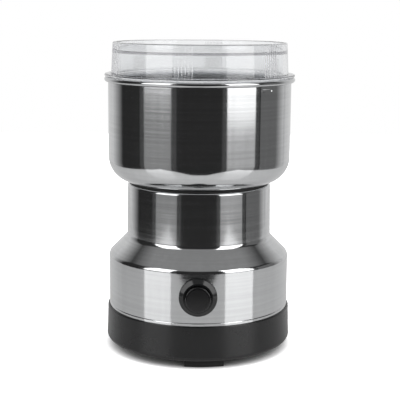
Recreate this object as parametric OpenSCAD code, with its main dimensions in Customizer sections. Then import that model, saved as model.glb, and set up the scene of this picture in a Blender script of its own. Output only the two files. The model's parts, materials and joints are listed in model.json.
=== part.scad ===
// Electric coffee grinder: steel body on a moulded base, fixed steel bowl, clear lift-off lid.
// Millimetres. The origin is on the table under the motor axis, +Z is up and the button faces -Y.

/* [Steel body] */
// Diameter of the lower steel body
body_d = 100; // [98:1:110]
// Height of the upright wall above the base
body_h = 29.2; // [28:0.2:36]
// Height of the sloped shoulder between body and neck
shoulder_h = 10.1; // [8:0.1:12]
// Diameter of the neck where the shoulder meets it
neck_d = 80; // [79:0.5:84]
// How much narrower the neck is at its top
neck_taper = 0.8; // [0:0.1:1.4]
// Height of the neck
neck_h = 29.2; // [28:0.2:36]
// Thickness of the drawn steel sheet of body and bowl
steel_t = 0.6; // [0.5:0.1:0.8]
// Rounding where the body turns into the shoulder
shoulder_edge_r = 3; // [2:0.5:6]
// Rounding where the shoulder turns into the neck
shoulder_root_r = 5; // [2:0.5:7]
// Rounding of the neck's top edge
neck_edge_r = 1.5; // [1:0.1:2]
// Width of the flange that turns in at the top of the neck
neck_flange_w = 7.6; // [6:0.1:9]
// How far the shell reaches down inside the base
shell_inset = 4; // [3:0.5:6]

/* [Base and feet] */
// Height of the base above its feet
base_h = 19.2; // [18:0.2:24]
// How far the base's lower side stands out past the steel
base_proud = 1.4; // [1.4:0.1:3]
// How much the base's side leans in towards its top
base_draft = 0.5; // [0:0.1:0.6]
// Rounding of the base's lower edge
base_edge_r = 2.5; // [2:0.5:5]
// Thickness of the base's floor
base_floor_t = 2.5; // [2:0.1:3.5]
// Thickness of the base's wall below the shell's edge
base_wall_t = 2.6; // [2.2:0.1:4]
// Diameter of the base's screw posts
post_d = 10; // [9:0.5:11]
// Height of the base's screw posts above the floor
post_h = 8.5; // [7:0.5:11]
// Number of vent slots in the base's floor
vent_count = 12; // [8:1:16]
// Length of a vent slot
vent_length = 12; // [8:0.5:14]
// Width of a vent slot
vent_w = 2.6; // [2:0.1:3.4]
// Number of feet
foot_count = 3; // [3:1:4]
// Height of the feet below the base
foot_h = 4; // [3:0.5:6]
// Length of a foot round the base
foot_length = 21.2; // [14:0.2:24]
// Width of a foot across its ring
foot_w = 7.5; // [6:0.5:9]
// Distance from the base's side to the foot's outer face
foot_inset = 3.9; // [3:0.1:6]
// Angle of the front foot, to the right of the button
foot_turn = 4.2; // [0:0.1:20]
// Diameter of the peg that holds a foot in the floor
foot_peg_d = 5; // [4:0.5:6]

/* [Cord inlet] */
// Bore of the inlet bush
gland_bore_d = 6.4; // [5:0.1:7.4]
// Diameter of the inlet bush in the wall
gland_d = 10; // [9:0.1:11]
// Diameter of the inlet bush's flanges
gland_flange_d = 13; // [12:0.1:14]
// How far the inlet bush ends outside the steel body's surface
gland_proud = 6; // [5:0.1:9]
// Thickness of the inlet bush's inner flange
gland_flange_t = 3.4; // [2:0.1:4]

/* [Bowl] */
// Diameter of the bowl's wall
bowl_d = 100; // [98:1:110]
// Height of the bowl from its underside to the top of its rim
bowl_h = 57.2; // [52:0.2:70]
// Rounding of the bowl's lower corner
bowl_corner_r = 13.5; // [8:0.5:14]
// Diameter of the rolled bead at the rim
bead_d = 2.6; // [2.4:0.1:3.4]
// Thickness of the gasket under the bowl
gasket_t = 1; // [0.8:0.1:2]
// Distance from the neck's side to the gasket's edge
gasket_inset = 1; // [0.6:0.1:1.6]
// Width of the gasket ring
gasket_w = 5.6; // [4:0.1:6]
// Distance from the rim's top down to the lid dimples
dimple_drop = 5; // [4.4:0.1:6]
// Straight length of a lid dimple
dimple_length = 6; // [4:0.5:8]
// Depth of a lid dimple
dimple_depth = 1.5; // [1.2:0.1:1.6]
// Angle of the first lid dimple, to the right of the button
dimple_turn = 44; // [30:0.5:60]

/* [Lid] */
// Height of the lid above its seat
lid_h = 18.3; // [15:0.1:24]
// Thickness of the lid's flange
lid_flange_t = 2.2; // [1.8:0.1:3]
// How far the flange's edge stays inside the rim
lid_flange_inset = 0.2; // [0:0.1:1]
// Step in from the flange's edge to the lid's wall
lid_step = 3.5; // [3:0.1:5]
// How much the lid's wall leans in towards its top
lid_draft = 0.9; // [0:0.1:1.2]
// Thickness of the lid's wall
lid_wall_t = 2.2; // [1.8:0.1:2.4]
// Depth of the sunk top
lid_recess = 3.5; // [2:0.1:5]
// Thickness of the top plate
lid_plate_t = 2; // [1.6:0.1:3]
// How far the skirt reaches below the flange
lid_skirt_h = 9.2; // [8.8:0.1:14]
// Gap between the skirt and the bowl's wall
lid_skirt_gap = 0.9; // [0.7:0.1:1.1]
// Gap between the lid and what it sits on
lid_gap = 0.3; // [0.2:0.1:0.5]
// Number of groups of grip ribs
rib_groups = 6; // [3:1:8]
// Number of ribs in a group
ribs_per_group = 6; // [3:1:7]
// Distance between neighbouring ribs
rib_pitch = 1.8; // [1.6:0.1:2.4]
// Diameter of a rib
rib_d = 1.3; // [1:0.1:1.5]
// Angle of the first rib group, to the right of the button
rib_turn = -10; // [-30:0.5:30]

/* [Button and switch] */
// Height of the button's axis above the seam of base and steel
button_up = 15.8; // [13:0.1:17]
// Diameter of the button cap
cap_d = 13.4; // [12:0.1:14]
// How far the cap stands out past the bezel, which is also its travel
cap_travel = 3; // [2:0.1:3.5]
// Rounding of the cap's edge
cap_edge_r = 1; // [0.4:0.1:1.4]
// Thickness of the cap's face and skirt
cap_t = 1.3; // [1:0.1:1.6]
// Gap round the cap
cap_gap = 0.3; // [0.2:0.05:0.4]
// Diameter of the bezel
bezel_d = 20.1; // [19.4:0.1:22]
// Width of the bezel's narrow front lip
bezel_lip_w = 0.85; // [0.5:0.05:1.2]
// How far the bezel stands out from the steel
bezel_proud = 3; // [2.4:0.1:4]
// Diameter of the threaded barrel behind the bezel
barrel_d = 16.6; // [16.2:0.1:17.4]
// Length of the barrel inside the body
barrel_length = 12; // [11:0.5:13]
// Thickness of the bezel's nut
bezel_nut_t = 4; // [3:0.5:5]
// Length of the switch body behind the barrel
switch_length = 9; // [8:0.5:9.5]
// Length of the switch's terminals
terminal_length = 4.5; // [3:0.5:4.5]
// Wire diameter of the button's spring
spring_wire_d = 0.9; // [0.6:0.1:1.1]
// Number of turns of the button's spring
spring_turns = 6; // [4:1:7]

/* [Hub and blades] */
// Diameter of the motor shaft
shaft_d = 6; // [5:0.5:7]
// Diameter of the hub bush's barrel
bush_d = 14; // [13:0.5:16]
// Diameter of the hub bush's flange
bush_flange_d = 20; // [18:0.5:24]
// Thickness of the hub bush's flange
bush_flange_t = 1.8; // [1.4:0.1:2.4]
// Height of the collar under the blades
spacer_h = 3.9; // [3:0.1:6]
// Diameter of the collar under the blades
spacer_d = 17; // [16:0.5:20]
// Length of a blade from tip to tip
blade_span = 76; // [60:1:82]
// Width of a blade at its hub
blade_w = 13; // [12:0.5:15]
// Width of a blade at its tip
blade_tip_w = 7; // [5:0.5:10]
// Thickness of a blade
blade_t = 1.2; // [1:0.1:1.6]
// Distance from the axis to a blade's fold
blade_fold_r = 18; // [15:0.5:20]
// Upward bend of the upper blade
blade_up_angle = 24; // [10:1:28]
// Downward bend of the lower blade
blade_down_angle = 5; // [0:1:6]
// Angle of the upper blade, round from the right side
blade_turn = 25; // [0:5:90]
// Thickness of the washer on the blades
washer_t = 1; // [0.8:0.1:1.6]
// Height of the hexagon of the blade nut
blade_nut_h = 3; // [2.4:0.1:4]
// Width across the corners of the blade nut
blade_nut_d = 11; // [10:0.5:12]

/* [Motor] */
// Thickness of the carrier's disc under the bowl
carrier_t = 4; // [3.6:0.1:5]
// Diameter of the carrier's legs
leg_d = 7.2; // [6.4:0.1:7.6]
// Room left beside the legs inside the neck
leg_gap = 0.9; // [0.6:0.1:1.2]
// Length of the carrier's bosses above the motor
carrier_boss_h = 5.1; // [5:0.1:7]
// Thickness of the motor's bracket bars
bracket_t = 3; // [2.4:0.1:4]
// Width of the motor's bracket bars
bracket_w = 14; // [13:0.5:16]
// Height of the top bracket's legs
top_leg_h = 12; // [11.5:0.5:14]
// Height of the lower bracket's legs
lower_leg_h = 22; // [21.5:0.5:24]
// Diameter of the motor's bolts
bolt_d = 4; // [3:0.5:4]
// Height of the bolts' heads
bolt_head_h = 2.8; // [2:0.1:3.2]
// Radial width of the stator's yoke
yoke_t = 9; // [8.6:0.1:9.4]
// Width of a pole's neck
pole_w = 12; // [10:0.5:13]
// Radial thickness of a pole shoe
shoe_t = 2.7; // [2.2:0.1:2.9]
// Diameter of the armature
armature_d = 27.6; // [27:0.1:27.8]
// Gap between the armature and the poles
air_gap = 0.5; // [0.4:0.05:0.6]
// Number of armature slots
slot_count = 12; // [8:1:12]
// How far the windings stand out past the cores
end_turn_h = 6; // [5:0.5:6.5]
// Diameter of the commutator
commutator_d = 18; // [17:0.5:19]
// Length of the commutator
commutator_h = 9; // [8.5:0.1:9.5]
// Number of commutator segments
segment_count = 24; // [12:2:24]
// Diameter of the bearings
bearing_d = 12; // [11:0.5:13]
// Length of the bearings
bearing_h = 7; // [6:0.5:7]
// Width of a carbon brush
brush_w = 5; // [4:0.5:6]
// Height of a carbon brush
brush_h = 6; // [5:0.5:6.5]
// Length of a carbon brush
brush_length = 5.5; // [4.5:0.5:6]
// Diameter of the cooling fan
fan_d = 48; // [40:1:52]
// Height of the cooling fan
fan_h = 7; // [5:0.5:8]
// Number of fan blades
fan_blades = 9; // [6:1:12]
// Gap between the fan and the base's floor
fan_floor_gap = 2.9; // [2.4:0.1:5]
// Diameter of the base screws' thread
screw_d = 3; // [2.5:0.1:3.4]
// How far the base screws reach into the legs
screw_grip = 12; // [8:0.5:16]

/* [Hidden] */
$fn = 96;
// Small play between pieces that are fixed together
play = 0.1;
// Radial running clearance of the shaft in its bearings and seal
running = 0.05;
// Overshoot of cuts
over = 1;
// Overlap of shapes that are joined into one piece
joined = 0.5;
// Gap between pieces that stand beside each other without touching
beside = 0.5;

// Radii
body_r = body_d / 2;
neck_r = neck_d / 2;
neck_top_r = neck_r - neck_taper / 2;
bowl_r = bowl_d / 2;
shaft_r = shaft_d / 2;
running_r = shaft_r + running;
base_low_r = body_r + base_proud;
base_top_r = base_low_r - base_draft;
base_in_r = base_low_r - base_wall_t - base_draft;
base_inner_edge_r = 1.2;
foot_out_r = base_low_r - foot_inset;
foot_place_r = foot_out_r - foot_w / 2;

// Heights of the body, from the table up
floor_z = foot_h + base_floor_t;
seam_z = foot_h + base_h;
shell_z0 = seam_z - shell_inset;
shoulder_z = seam_z + body_h;
neck_z = shoulder_z + shoulder_h;
neck_top_z = neck_z + neck_h;
bowl_z0 = neck_top_z + gasket_t;
bowl_floor_z = bowl_z0 + steel_t;
rim_z = bowl_z0 + bowl_h;
bead_z = rim_z - bead_d / 2;
bead_hold = 0.6;
bead_place_r = bowl_r + bead_d / 2 - bead_hold;
rim_r = bead_place_r + bead_d / 2;
dimple_z = rim_z - dimple_drop;

// Lid
lid_seat_z = rim_z + lid_gap;
lid_flange_z = lid_seat_z + lid_flange_t;
lid_top_z = lid_seat_z + lid_h;
lid_plate_z1 = lid_top_z - lid_recess;
lid_plate_z0 = lid_plate_z1 - lid_plate_t;
lid_skirt_z0 = lid_seat_z - lid_skirt_h;
lid_flange_r = rim_r - lid_flange_inset;
lid_wall_r = lid_flange_r - lid_step;
lid_rim_r = lid_wall_r - lid_draft;
lid_skirt_r = bowl_r - steel_t - lid_skirt_gap;
// How deep a rib's axis lies in the wall's foot, and how far below the lid's top it ends
rib_sink = 0.4;
rib_top_gap = 1.2;
// The lid's slots for the dimples: the entry's half angle and the turn of the locking branch
slot_gap = 1;
dimple_bump_r = dimple_depth + steel_t;
slot_half_angle = asin((dimple_length / 2 + dimple_bump_r + slot_gap) / lid_skirt_r);
slot_lock_angle = 22;
slot_z1 = dimple_z + dimple_bump_r + slot_gap;
slot_lip = 1.2;

// Cord inlet
gland_z = foot_h + base_h / 2;
gland_end_y = body_r + gland_proud;
gland_in_y = sqrt(pow(base_in_r, 2) - pow(gland_flange_d / 2, 2)) - play;

// Button, measured from the motor axis towards the front
button_z = seam_z + button_up;
bezel_front = body_r + bezel_proud;
cap_front = bezel_front + cap_travel;
cap_r = cap_d / 2;
cap_inner_r = cap_r - cap_t;
cap_flange_w = 0.5;
cap_flange_r = cap_r + cap_flange_w;
cap_flange_t = 1.5;
bezel_bore_r = cap_r + cap_gap;
barrel_r = barrel_d / 2;
barrel_bore_r = cap_flange_r + cap_gap;
barrel_back = body_r - barrel_length;
barrel_step = body_r;
cap_flange_front = barrel_step - cap_gap;
cap_back = cap_flange_front - cap_flange_t;
cap_face_back = cap_front - cap_t;
switch_boss_h = 2;
switch_front = barrel_back + switch_boss_h;
switch_back = barrel_back - switch_length;
switch_room = 2;
plunger_r = 1.6;
plunger_entry = 2.5;
plunger_back = switch_front - plunger_entry;
plunger_collar_r = 3;
plunger_collar_t = 2;
spring_r = (plunger_collar_r + cap_inner_r) / 2;
spring_length = cap_face_back - switch_front;
bezel_nut_d = 23;
bezel_nut_front = sqrt(pow(body_r - steel_t, 2) - pow(bezel_nut_d / 2, 2)) - play;
shell_hole_r = barrel_r + play;

// Carrier and its legs
carrier_z1 = neck_top_z - steel_t;
carrier_z0 = carrier_z1 - carrier_t;
carrier_r = neck_top_r - neck_edge_r - play;
leg_r = leg_d / 2;
leg_place_r = neck_top_r - steel_t - leg_gap - leg_r;
leg_angles = [90, 210, 330];
post_z1 = floor_z + post_h;
screw_r = screw_d / 2;
screw_head_r = screw_d;
screw_head_h = 2.2;
screw_head_z1 = floor_z + 2.5;
screw_gap = 0.4;
hub_boss_r = 16;

// Hub bush, nut and seal
bush_r = bush_d / 2;
bush_top_z = bowl_floor_z + bush_flange_t;
hub_nut_h = 3.5;
hub_nut_d = bush_d + 10;
bush_z0 = carrier_z0 - hub_nut_h - beside;
bush_bore_r = shaft_r + beside;
seal_wall = 1.2;
seal_r = bush_r - seal_wall;
seal_h = 3.6;
seal_z0 = bush_top_z - seal_h - beside;

// Motor, hung from the carrier; the core fills the height that is left
top_bar_z1 = carrier_z0 - carrier_boss_h;
top_bar_z0 = top_bar_z1 - bracket_t;
stack_z1 = top_bar_z0 - top_leg_h;
fan_z0 = floor_z + fan_floor_gap;
fan_z1 = fan_z0 + fan_h;
fan_bolt_gap = 0.8;
lower_bar_z0 = fan_z1 + fan_bolt_gap + bolt_head_h;
lower_bar_z1 = lower_bar_z0 + bracket_t;
stack_z0 = lower_bar_z1 + lower_leg_h;
stack_h = stack_z1 - stack_z0;
stator_r = leg_place_r - leg_r - beside;
stator_in_r = stator_r - yoke_t;
bolt_r = bolt_d / 2;
bolt_place = stator_r - yoke_t * 0.6;
bolt_top_z = carrier_z1 - beside;
bolt_head_d = bolt_d * 1.95;
nut_h = carrier_t - 1;
bracket_leg_d = bolt_d * 2;
hub_r = bearing_d / 2 + 2.5;
hub_lip = 1;
hub_rise = 0.5;
top_hub_z1 = top_bar_z1 + hub_rise;
upper_bearing_z0 = top_hub_z1 - bearing_h;
lower_hub_z0 = lower_bar_z0 - hub_rise;
lower_bearing_z0 = lower_hub_z0 + hub_lip;
armature_r = armature_d / 2;
bore_r = armature_r + air_gap;
coil_gap = 0.3;
coil_in_r = bore_r + shoe_t + coil_gap;
coil_out_r = stator_in_r - coil_gap;
coil_w = 5.5;
slot_place_r = armature_r - 4;
tooth_half_w = 0.4;
slot_r = min(2.1, slot_place_r * sin(180 / slot_count) - tooth_half_w);
slot_mouth = 1.6;
commutator_r = commutator_d / 2;
commutator_z1 = stack_z0 - end_turn_h - beside;
commutator_z0 = commutator_z1 - commutator_h;
brush_z = (commutator_z0 + commutator_z1) / 2;
brush_in = commutator_r + 2 * running;
holder_in = commutator_r + 2;
holder_wall = 1.5;
holder_back = bolt_place - bracket_leg_d / 2 - beside;
shaft_z0 = fan_z0 - beside;

// Blades, stacked on the collar above the bush
spacer_z0 = bush_top_z + beside;
blade_z = spacer_z0 + spacer_h;
washer_z = blade_z + 2 * blade_t;
blade_nut_z = washer_z + washer_t;
shaft_z1 = blade_nut_z + blade_nut_h + 1;

// Corner geometry of a rounded outline
function unit(v) = v / norm(v);
function half_corner(p, a, b) = acos(unit(a - p) * unit(b - p)) / 2;
function corner_centre(p, a, b, r) = p + unit(unit(a - p) + unit(b - p)) * r / sin(half_corner(p, a, b));
function corner_start(p, a, b, r) = p + unit(a - p) * r / tan(half_corner(p, a, b));
function is_convex(a, p, b) = cross(p - a, b - p) > 0;

// What a convex corner loses: the corner's kite outside its arc
module corner_waste(corner, start, centre, end, r) {
    difference() {
        polygon([centre, 2 * start - centre, 2 * corner - centre, 2 * end - centre]);
        translate(centre) circle(r);
    }
}

// What a hollow corner loses of its flat filling: the arc's sector
module hollow_waste(start, centre, end, r) {
    intersection() {
        translate(centre) circle(r);
        polygon([centre, 2 * start - centre, 2 * end - centre]);
    }
}

// A polygon, its points counter-clockwise, with a true arc at each corner that has a radius
module rounded_profile(points, radii) {
    n = len(points);
    corners = [
        for (i = [0 : n - 1])
            let (p = points[i], a = points[(i + n - 1) % n], b = points[(i + 1) % n], r = radii[i])
            [is_convex(a, p, b), r, p, corner_start(p, a, b, r), corner_centre(p, a, b, r),
             corner_start(p, b, a, r)]
    ];
    difference() {
        polygon([for (c = corners) each c[0] || c[1] == 0 ? [c[2]] : [c[3], c[5]]]);
        for (c = corners) if (c[1] > 0) {
            if (c[0]) corner_waste(c[2], c[3], c[4], c[5], c[1]);
            else hollow_waste(c[3], c[4], c[5], c[1]);
        }
    }
}

// A tube standing on z0
module tube(outer_r, inner_r, z0, z1) {
    translate([0, 0, z0]) difference() {
        cylinder(r = outer_r, h = z1 - z0);
        translate([0, 0, -over]) cylinder(r = inner_r, h = z1 - z0 + 2 * over);
    }
}

// A standing cylinder between two heights
module post(r, z0, z1) {
    translate([0, 0, z0]) cylinder(r = r, h = z1 - z0);
}

// A standing hexagon between two heights, by its width across corners
module hexagon(across, z0, z1) {
    translate([0, 0, z0]) cylinder(r = across / 2, h = z1 - z0, $fn = 6);
}

// Copies at equal steps round the axis
module around(count, start = 0) {
    for (i = [0 : count - 1]) rotate([0, 0, start + i * 360 / count]) children();
}

// A wedge-shaped outline from one angle to another, less than half a turn
module wedge(r, from, to) {
    middle = (from + to) / 2;
    far = r / cos((to - from) / 4);
    polygon([[0, 0], r * [cos(from), sin(from)], far * [cos((from + middle) / 2), sin((from + middle) / 2)],
             far * [cos((middle + to) / 2), sin((middle + to) / 2)], r * [cos(to), sin(to)]]);
}

// Places a shape whose own +Z points out through the front of the body, at the button's height
module at_front() {
    translate([0, 0, button_z]) rotate([90, 0, 0]) children();
}

// Places a shape whose own +Z points out through the rear of the base, at the inlet's height
module at_rear() {
    translate([0, 0, gland_z]) rotate([-90, 0, 0]) children();
}

// A compression spring of round wire, standing on z = 0
module coil_spring(mid_r, wire_r, length, turns) {
    steps = turns * 10;
    sides = 6;
    points = [
        for (i = [0 : steps]) for (j = [0 : sides - 1])
            let (turn = 360 * turns * i / steps, roll = 360 * j / sides)
            let (r = mid_r + wire_r * cos(roll), rise = wire_r + (length - 2 * wire_r) * i / steps)
            [r * cos(turn), r * sin(turn), rise + wire_r * sin(roll)]
    ];
    skin = [
        for (i = [0 : steps - 1]) for (j = [0 : sides - 1])
            let (a = i * sides + j, b = i * sides + (j + 1) % sides)
            each [[a, b, b + sides], [a, b + sides, a + sides]]
    ];
    last = steps * sides;
    caps = [for (j = [1 : sides - 2]) each [[0, j + 1, j], [last, last + j, last + j + 1]]];
    polyhedron(points, concat(skin, caps));
}

// Clear lid: skirt inside the bowl, flange on the rim, sunk top and groups of grip ribs
module lid_body() {
    inner_r = lid_skirt_r - lid_wall_t;
    inner_top_r = lid_rim_r - lid_wall_t;
    rotate_extrude() rounded_profile(
        [[inner_r, lid_skirt_z0], [lid_skirt_r, lid_skirt_z0], [lid_skirt_r, lid_seat_z],
         [lid_flange_r, lid_seat_z], [lid_flange_r, lid_flange_z], [lid_wall_r, lid_flange_z],
         [lid_rim_r, lid_top_z], [inner_top_r, lid_top_z], [inner_top_r, lid_plate_z1],
         [0, lid_plate_z1], [0, lid_plate_z0], [inner_top_r, lid_plate_z0]],
        [0.4, 0.6, 0.5, 0.6, 0.8, 0.6, 0.7, 0.5, 0.8, 0, 0, 1]);
}

module lid_ribs() {
    step = rib_pitch / lid_wall_r * 180 / PI;
    foot = lid_flange_z - joined;
    top = lid_top_z - rib_top_gap;
    around(rib_groups, rib_turn - 90) for (i = [0 : ribs_per_group - 1])
        rotate([0, 0, (i - (ribs_per_group - 1) / 2) * step])
            translate([lid_wall_r - rib_sink, 0, 0]) post(rib_d / 2, foot, top);
}

// Slots in the skirt that take the bowl's dimples: an upright entry and a locking branch
module lid_slots() {
    around(2, dimple_turn - 90) {
        translate([0, 0, lid_skirt_z0 - over]) linear_extrude(slot_z1 - lid_skirt_z0 + over)
            wedge(lid_skirt_r + over, -slot_half_angle, slot_half_angle);
        translate([0, 0, lid_skirt_z0 + slot_lip]) linear_extrude(slot_z1 - lid_skirt_z0 - slot_lip)
            wedge(lid_skirt_r + over, 0, slot_half_angle + slot_lock_angle);
    }
}

module lid() {
    color("#e8ecee", 0.4) difference() {
        union() {
            lid_body();
            lid_ribs();
        }
        difference() {
            lid_slots();
            post(lid_skirt_r - lid_wall_t - joined, lid_skirt_z0 - 2 * over, lid_seat_z);
        }
    }
}

// Drawn bowl with a rolled rim and two dimples that hold the lid
module bowl_wall() {
    hole_r = bush_r + play;
    rotate_extrude() difference() {
        union() {
            rounded_profile([[0, bowl_z0], [bowl_r, bowl_z0], [bowl_r, bead_z], [0, bead_z]],
                            [0, bowl_corner_r, 0, 0]);
            translate([bead_place_r, bead_z]) circle(d = bead_d);
        }
        rounded_profile([[0, bowl_floor_z], [bowl_r - steel_t, bowl_floor_z],
                         [bowl_r - steel_t, bead_z], [0, bead_z]],
                        [0, bowl_corner_r - steel_t, 0, 0]);
        translate([-over, bowl_z0 - over]) square([hole_r + over, steel_t + 2 * over]);
    }
}

// A lying pill, its length along Y
module pill(r, length) {
    rotate([90, 0, 0]) cylinder(r = r, h = length, center = true);
    for (side = [-1, 1]) translate([0, side * length / 2, 0]) sphere(r);
}

module bowl() {
    color("#c4c6c8") difference() {
        union() {
            bowl_wall();
            intersection() {
                around(2, dimple_turn - 90) translate([bowl_r, 0, dimple_z])
                    pill(dimple_bump_r, dimple_length);
                post(bowl_r - steel_t / 2, dimple_z - 4, dimple_z + 4);
            }
        }
        around(2, dimple_turn - 90) translate([bowl_r, 0, dimple_z]) pill(dimple_depth, dimple_length);
    }
}

module bowl_gasket() {
    color("#161616") tube(neck_top_r - gasket_inset, neck_top_r - gasket_inset - gasket_w,
                          neck_top_z, bowl_z0);
}

// One drawn shell: body, shoulder, neck and the flange that carries the bowl
module shell_outline(inset, z0) {
    slope = atan(shoulder_h / (body_r - neck_r));
    drop = inset * (1 - sin(slope)) / cos(slope);
    rounded_profile(
        [[0, z0], [body_r - inset, z0], [body_r - inset, shoulder_z - drop],
         [neck_r - inset, neck_z - drop], [neck_top_r - inset, neck_top_z - inset],
         [0, neck_top_z - inset]],
        [0, 0, shoulder_edge_r - inset, shoulder_root_r + inset, neck_edge_r - inset, 0]);
}

module body_shell() {
    opening_r = neck_top_r - neck_flange_w;
    color("#c4c6c8") difference() {
        rotate_extrude() difference() {
            shell_outline(0, shell_z0);
            shell_outline(steel_t, shell_z0 - over);
            translate([-over, neck_top_z - steel_t - over])
                square([opening_r + over, steel_t + 2 * over]);
        }
        at_front() post(shell_hole_r, body_r / 2, body_r + over);
    }
}

// Moulded base: a tub with a stepped rim for the shell, screw posts, vents and foot sockets
module base_outside() {
    rounded_profile([[0, foot_h], [base_low_r, foot_h], [base_top_r, seam_z], [0, seam_z]],
                    [0, base_edge_r, 0.6, 0]);
}

module base_tub() {
    rim_in_r = body_r + play;
    rotate_extrude() difference() {
        base_outside();
        rounded_profile([[0, floor_z], [base_in_r, floor_z], [base_in_r, shell_z0],
                         [rim_in_r, shell_z0], [rim_in_r, seam_z + over], [0, seam_z + over]],
                        [0, base_inner_edge_r, 0, 0, 0, 0]);
    }
}

module vent_slots() {
    vent_out_r = leg_place_r - post_d / 2 - 3;
    around(vent_count, 180 / vent_count) translate([vent_out_r - vent_length, 0, foot_h - over]) {
        translate([vent_w / 2, -vent_w / 2, 0])
            cube([vent_length - vent_w, vent_w, base_floor_t + 2 * over]);
        for (x = [vent_w / 2, vent_length - vent_w / 2])
            translate([x, 0, 0]) cylinder(d = vent_w, h = base_floor_t + 2 * over);
    }
}

module base() {
    color("#1c1c1d") difference() {
        union() {
            base_tub();
            for (a = leg_angles) rotate([0, 0, a]) translate([leg_place_r, 0, 0])
                post(post_d / 2, floor_z - joined, post_z1);
        }
        vent_slots();
        for (a = leg_angles) rotate([0, 0, a]) translate([leg_place_r, 0, 0]) {
            post(screw_head_r + screw_gap, foot_h - over, screw_head_z1);
            post(screw_r + screw_gap, foot_h, post_z1 + over);
        }
        around(foot_count, foot_turn - 90) translate([foot_place_r, 0, 0])
            post(foot_peg_d / 2 + play, foot_h - over, floor_z + over);
        at_rear() post(gland_d / 2 + play, base_in_r - base_wall_t, base_low_r + over);
    }
}

// Feet: pads bent to the base's ring, each with a peg in the floor
module foot() {
    half_angle = foot_length / foot_out_r * 90 / PI;
    edge_r = 1;
    intersection() {
        rotate_extrude() rounded_profile(
            [[foot_out_r - foot_w, 0], [foot_out_r, 0], [foot_out_r, foot_h],
             [foot_out_r - foot_w, foot_h]], [edge_r, edge_r, 0, 0]);
        linear_extrude(foot_h) wedge(base_low_r, -half_angle, half_angle);
    }
    translate([foot_place_r, 0, 0]) post(foot_peg_d / 2, foot_h - joined, floor_z);
}

module feet() {
    color("#141414") around(foot_count, foot_turn - 90) foot();
}

module base_screws() {
    color("#9a9c9e") for (a = leg_angles) rotate([0, 0, a]) translate([leg_place_r, 0, 0]) {
        post(screw_head_r, screw_head_z1 - screw_head_h, screw_head_z1);
        post(screw_r, screw_head_z1 - joined, post_z1 + screw_grip);
    }
}

// Rubber bush in the rear of the base, bored for the cord: a collar seated on the base's side,
// a waist through the wall and a flange inside
module gland_collar() {
    collar_edge_y = gland_end_y - 1.5;
    difference() {
        at_rear() {
            post(gland_flange_d / 2, body_r - over, collar_edge_y);
            translate([0, 0, collar_edge_y])
                cylinder(r1 = gland_flange_d / 2, r2 = gland_d / 2, h = gland_end_y - collar_edge_y);
        }
        translate([0, 0, foot_h]) cylinder(r1 = base_low_r, r2 = base_top_r, h = base_h);
    }
}

module cord_gland() {
    color("#151515") difference() {
        union() {
            gland_collar();
            at_rear() post(gland_d / 2, gland_in_y - joined, gland_end_y - 2);
            at_rear() post(gland_flange_d / 2, gland_in_y - gland_flange_t, gland_in_y);
        }
        at_rear() post(gland_bore_d / 2, gland_in_y - gland_flange_t - over, gland_end_y + over);
    }
}

// Bezel: a sloped ring seated on the round body, with the barrel that passes through it
module button_bezel() {
    lip_r = bezel_bore_r + bezel_lip_w;
    edge = bezel_front - bezel_proud * 0.55;
    color("#17181a") difference() {
        union() {
            difference() {
                at_front() rotate_extrude() rounded_profile(
                    [[0, body_r - 2 * over], [bezel_d / 2, body_r - 2 * over], [bezel_d / 2, edge],
                     [lip_r, bezel_front], [0, bezel_front]], [0, 0, 0.5, 0.3, 0]);
                post(body_r, shell_z0, shoulder_z);
            }
            at_front() post(barrel_r, barrel_back, barrel_step + joined);
        }
        at_front() post(bezel_bore_r, barrel_back - over, bezel_front + over);
        at_front() post(barrel_bore_r, barrel_back - over, barrel_step);
    }
}

module bezel_nut() {
    color("#3a3a3c") at_front() difference() {
        hexagon(bezel_nut_d, bezel_nut_front - bezel_nut_t, bezel_nut_front);
        post(barrel_r + play, bezel_nut_front - bezel_nut_t - over, bezel_nut_front + over);
    }
}

// Button cap: a cup with a rounded edge and a flange that stops it behind the bezel
module button_cap() {
    color("#101113") at_front() rotate_extrude() rounded_profile(
        [[cap_inner_r, cap_back], [cap_flange_r, cap_back], [cap_flange_r, cap_flange_front],
         [cap_r, cap_flange_front], [cap_r, cap_front], [0, cap_front], [0, cap_face_back],
         [cap_inner_r, cap_face_back]],
        [0, 0, 0, 0, cap_edge_r, 0, 0, 0.4]);
}

module button_spring() {
    color("#b8babc") at_front() translate([0, 0, switch_front])
        coil_spring(spring_r, spring_wire_d / 2, spring_length, spring_turns);
}

module switch_body() {
    color("#2b2b2d") at_front() difference() {
        union() {
            post(barrel_r, switch_back, barrel_back);
            post(barrel_bore_r - play, barrel_back - joined, switch_front);
        }
        post(plunger_r + cap_gap, plunger_back - cap_travel - over, switch_front + over);
    }
}

module switch_plunger() {
    color("#d8d4c8") at_front() {
        post(plunger_r, plunger_back, cap_face_back);
        post(plunger_collar_r, cap_face_back - plunger_collar_t, cap_face_back);
    }
}

// Two upright tabs in the switch's lower half, clear of the motor's coils
module switch_terminals() {
    tab = [0.8, 4.8];
    color("#c9a24a") at_front() for (side = [-1, 1])
        translate([side * barrel_r / 2, -barrel_r / 2, switch_back - terminal_length / 2])
            cube([tab[0], tab[1], terminal_length], center = true);
}

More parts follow.
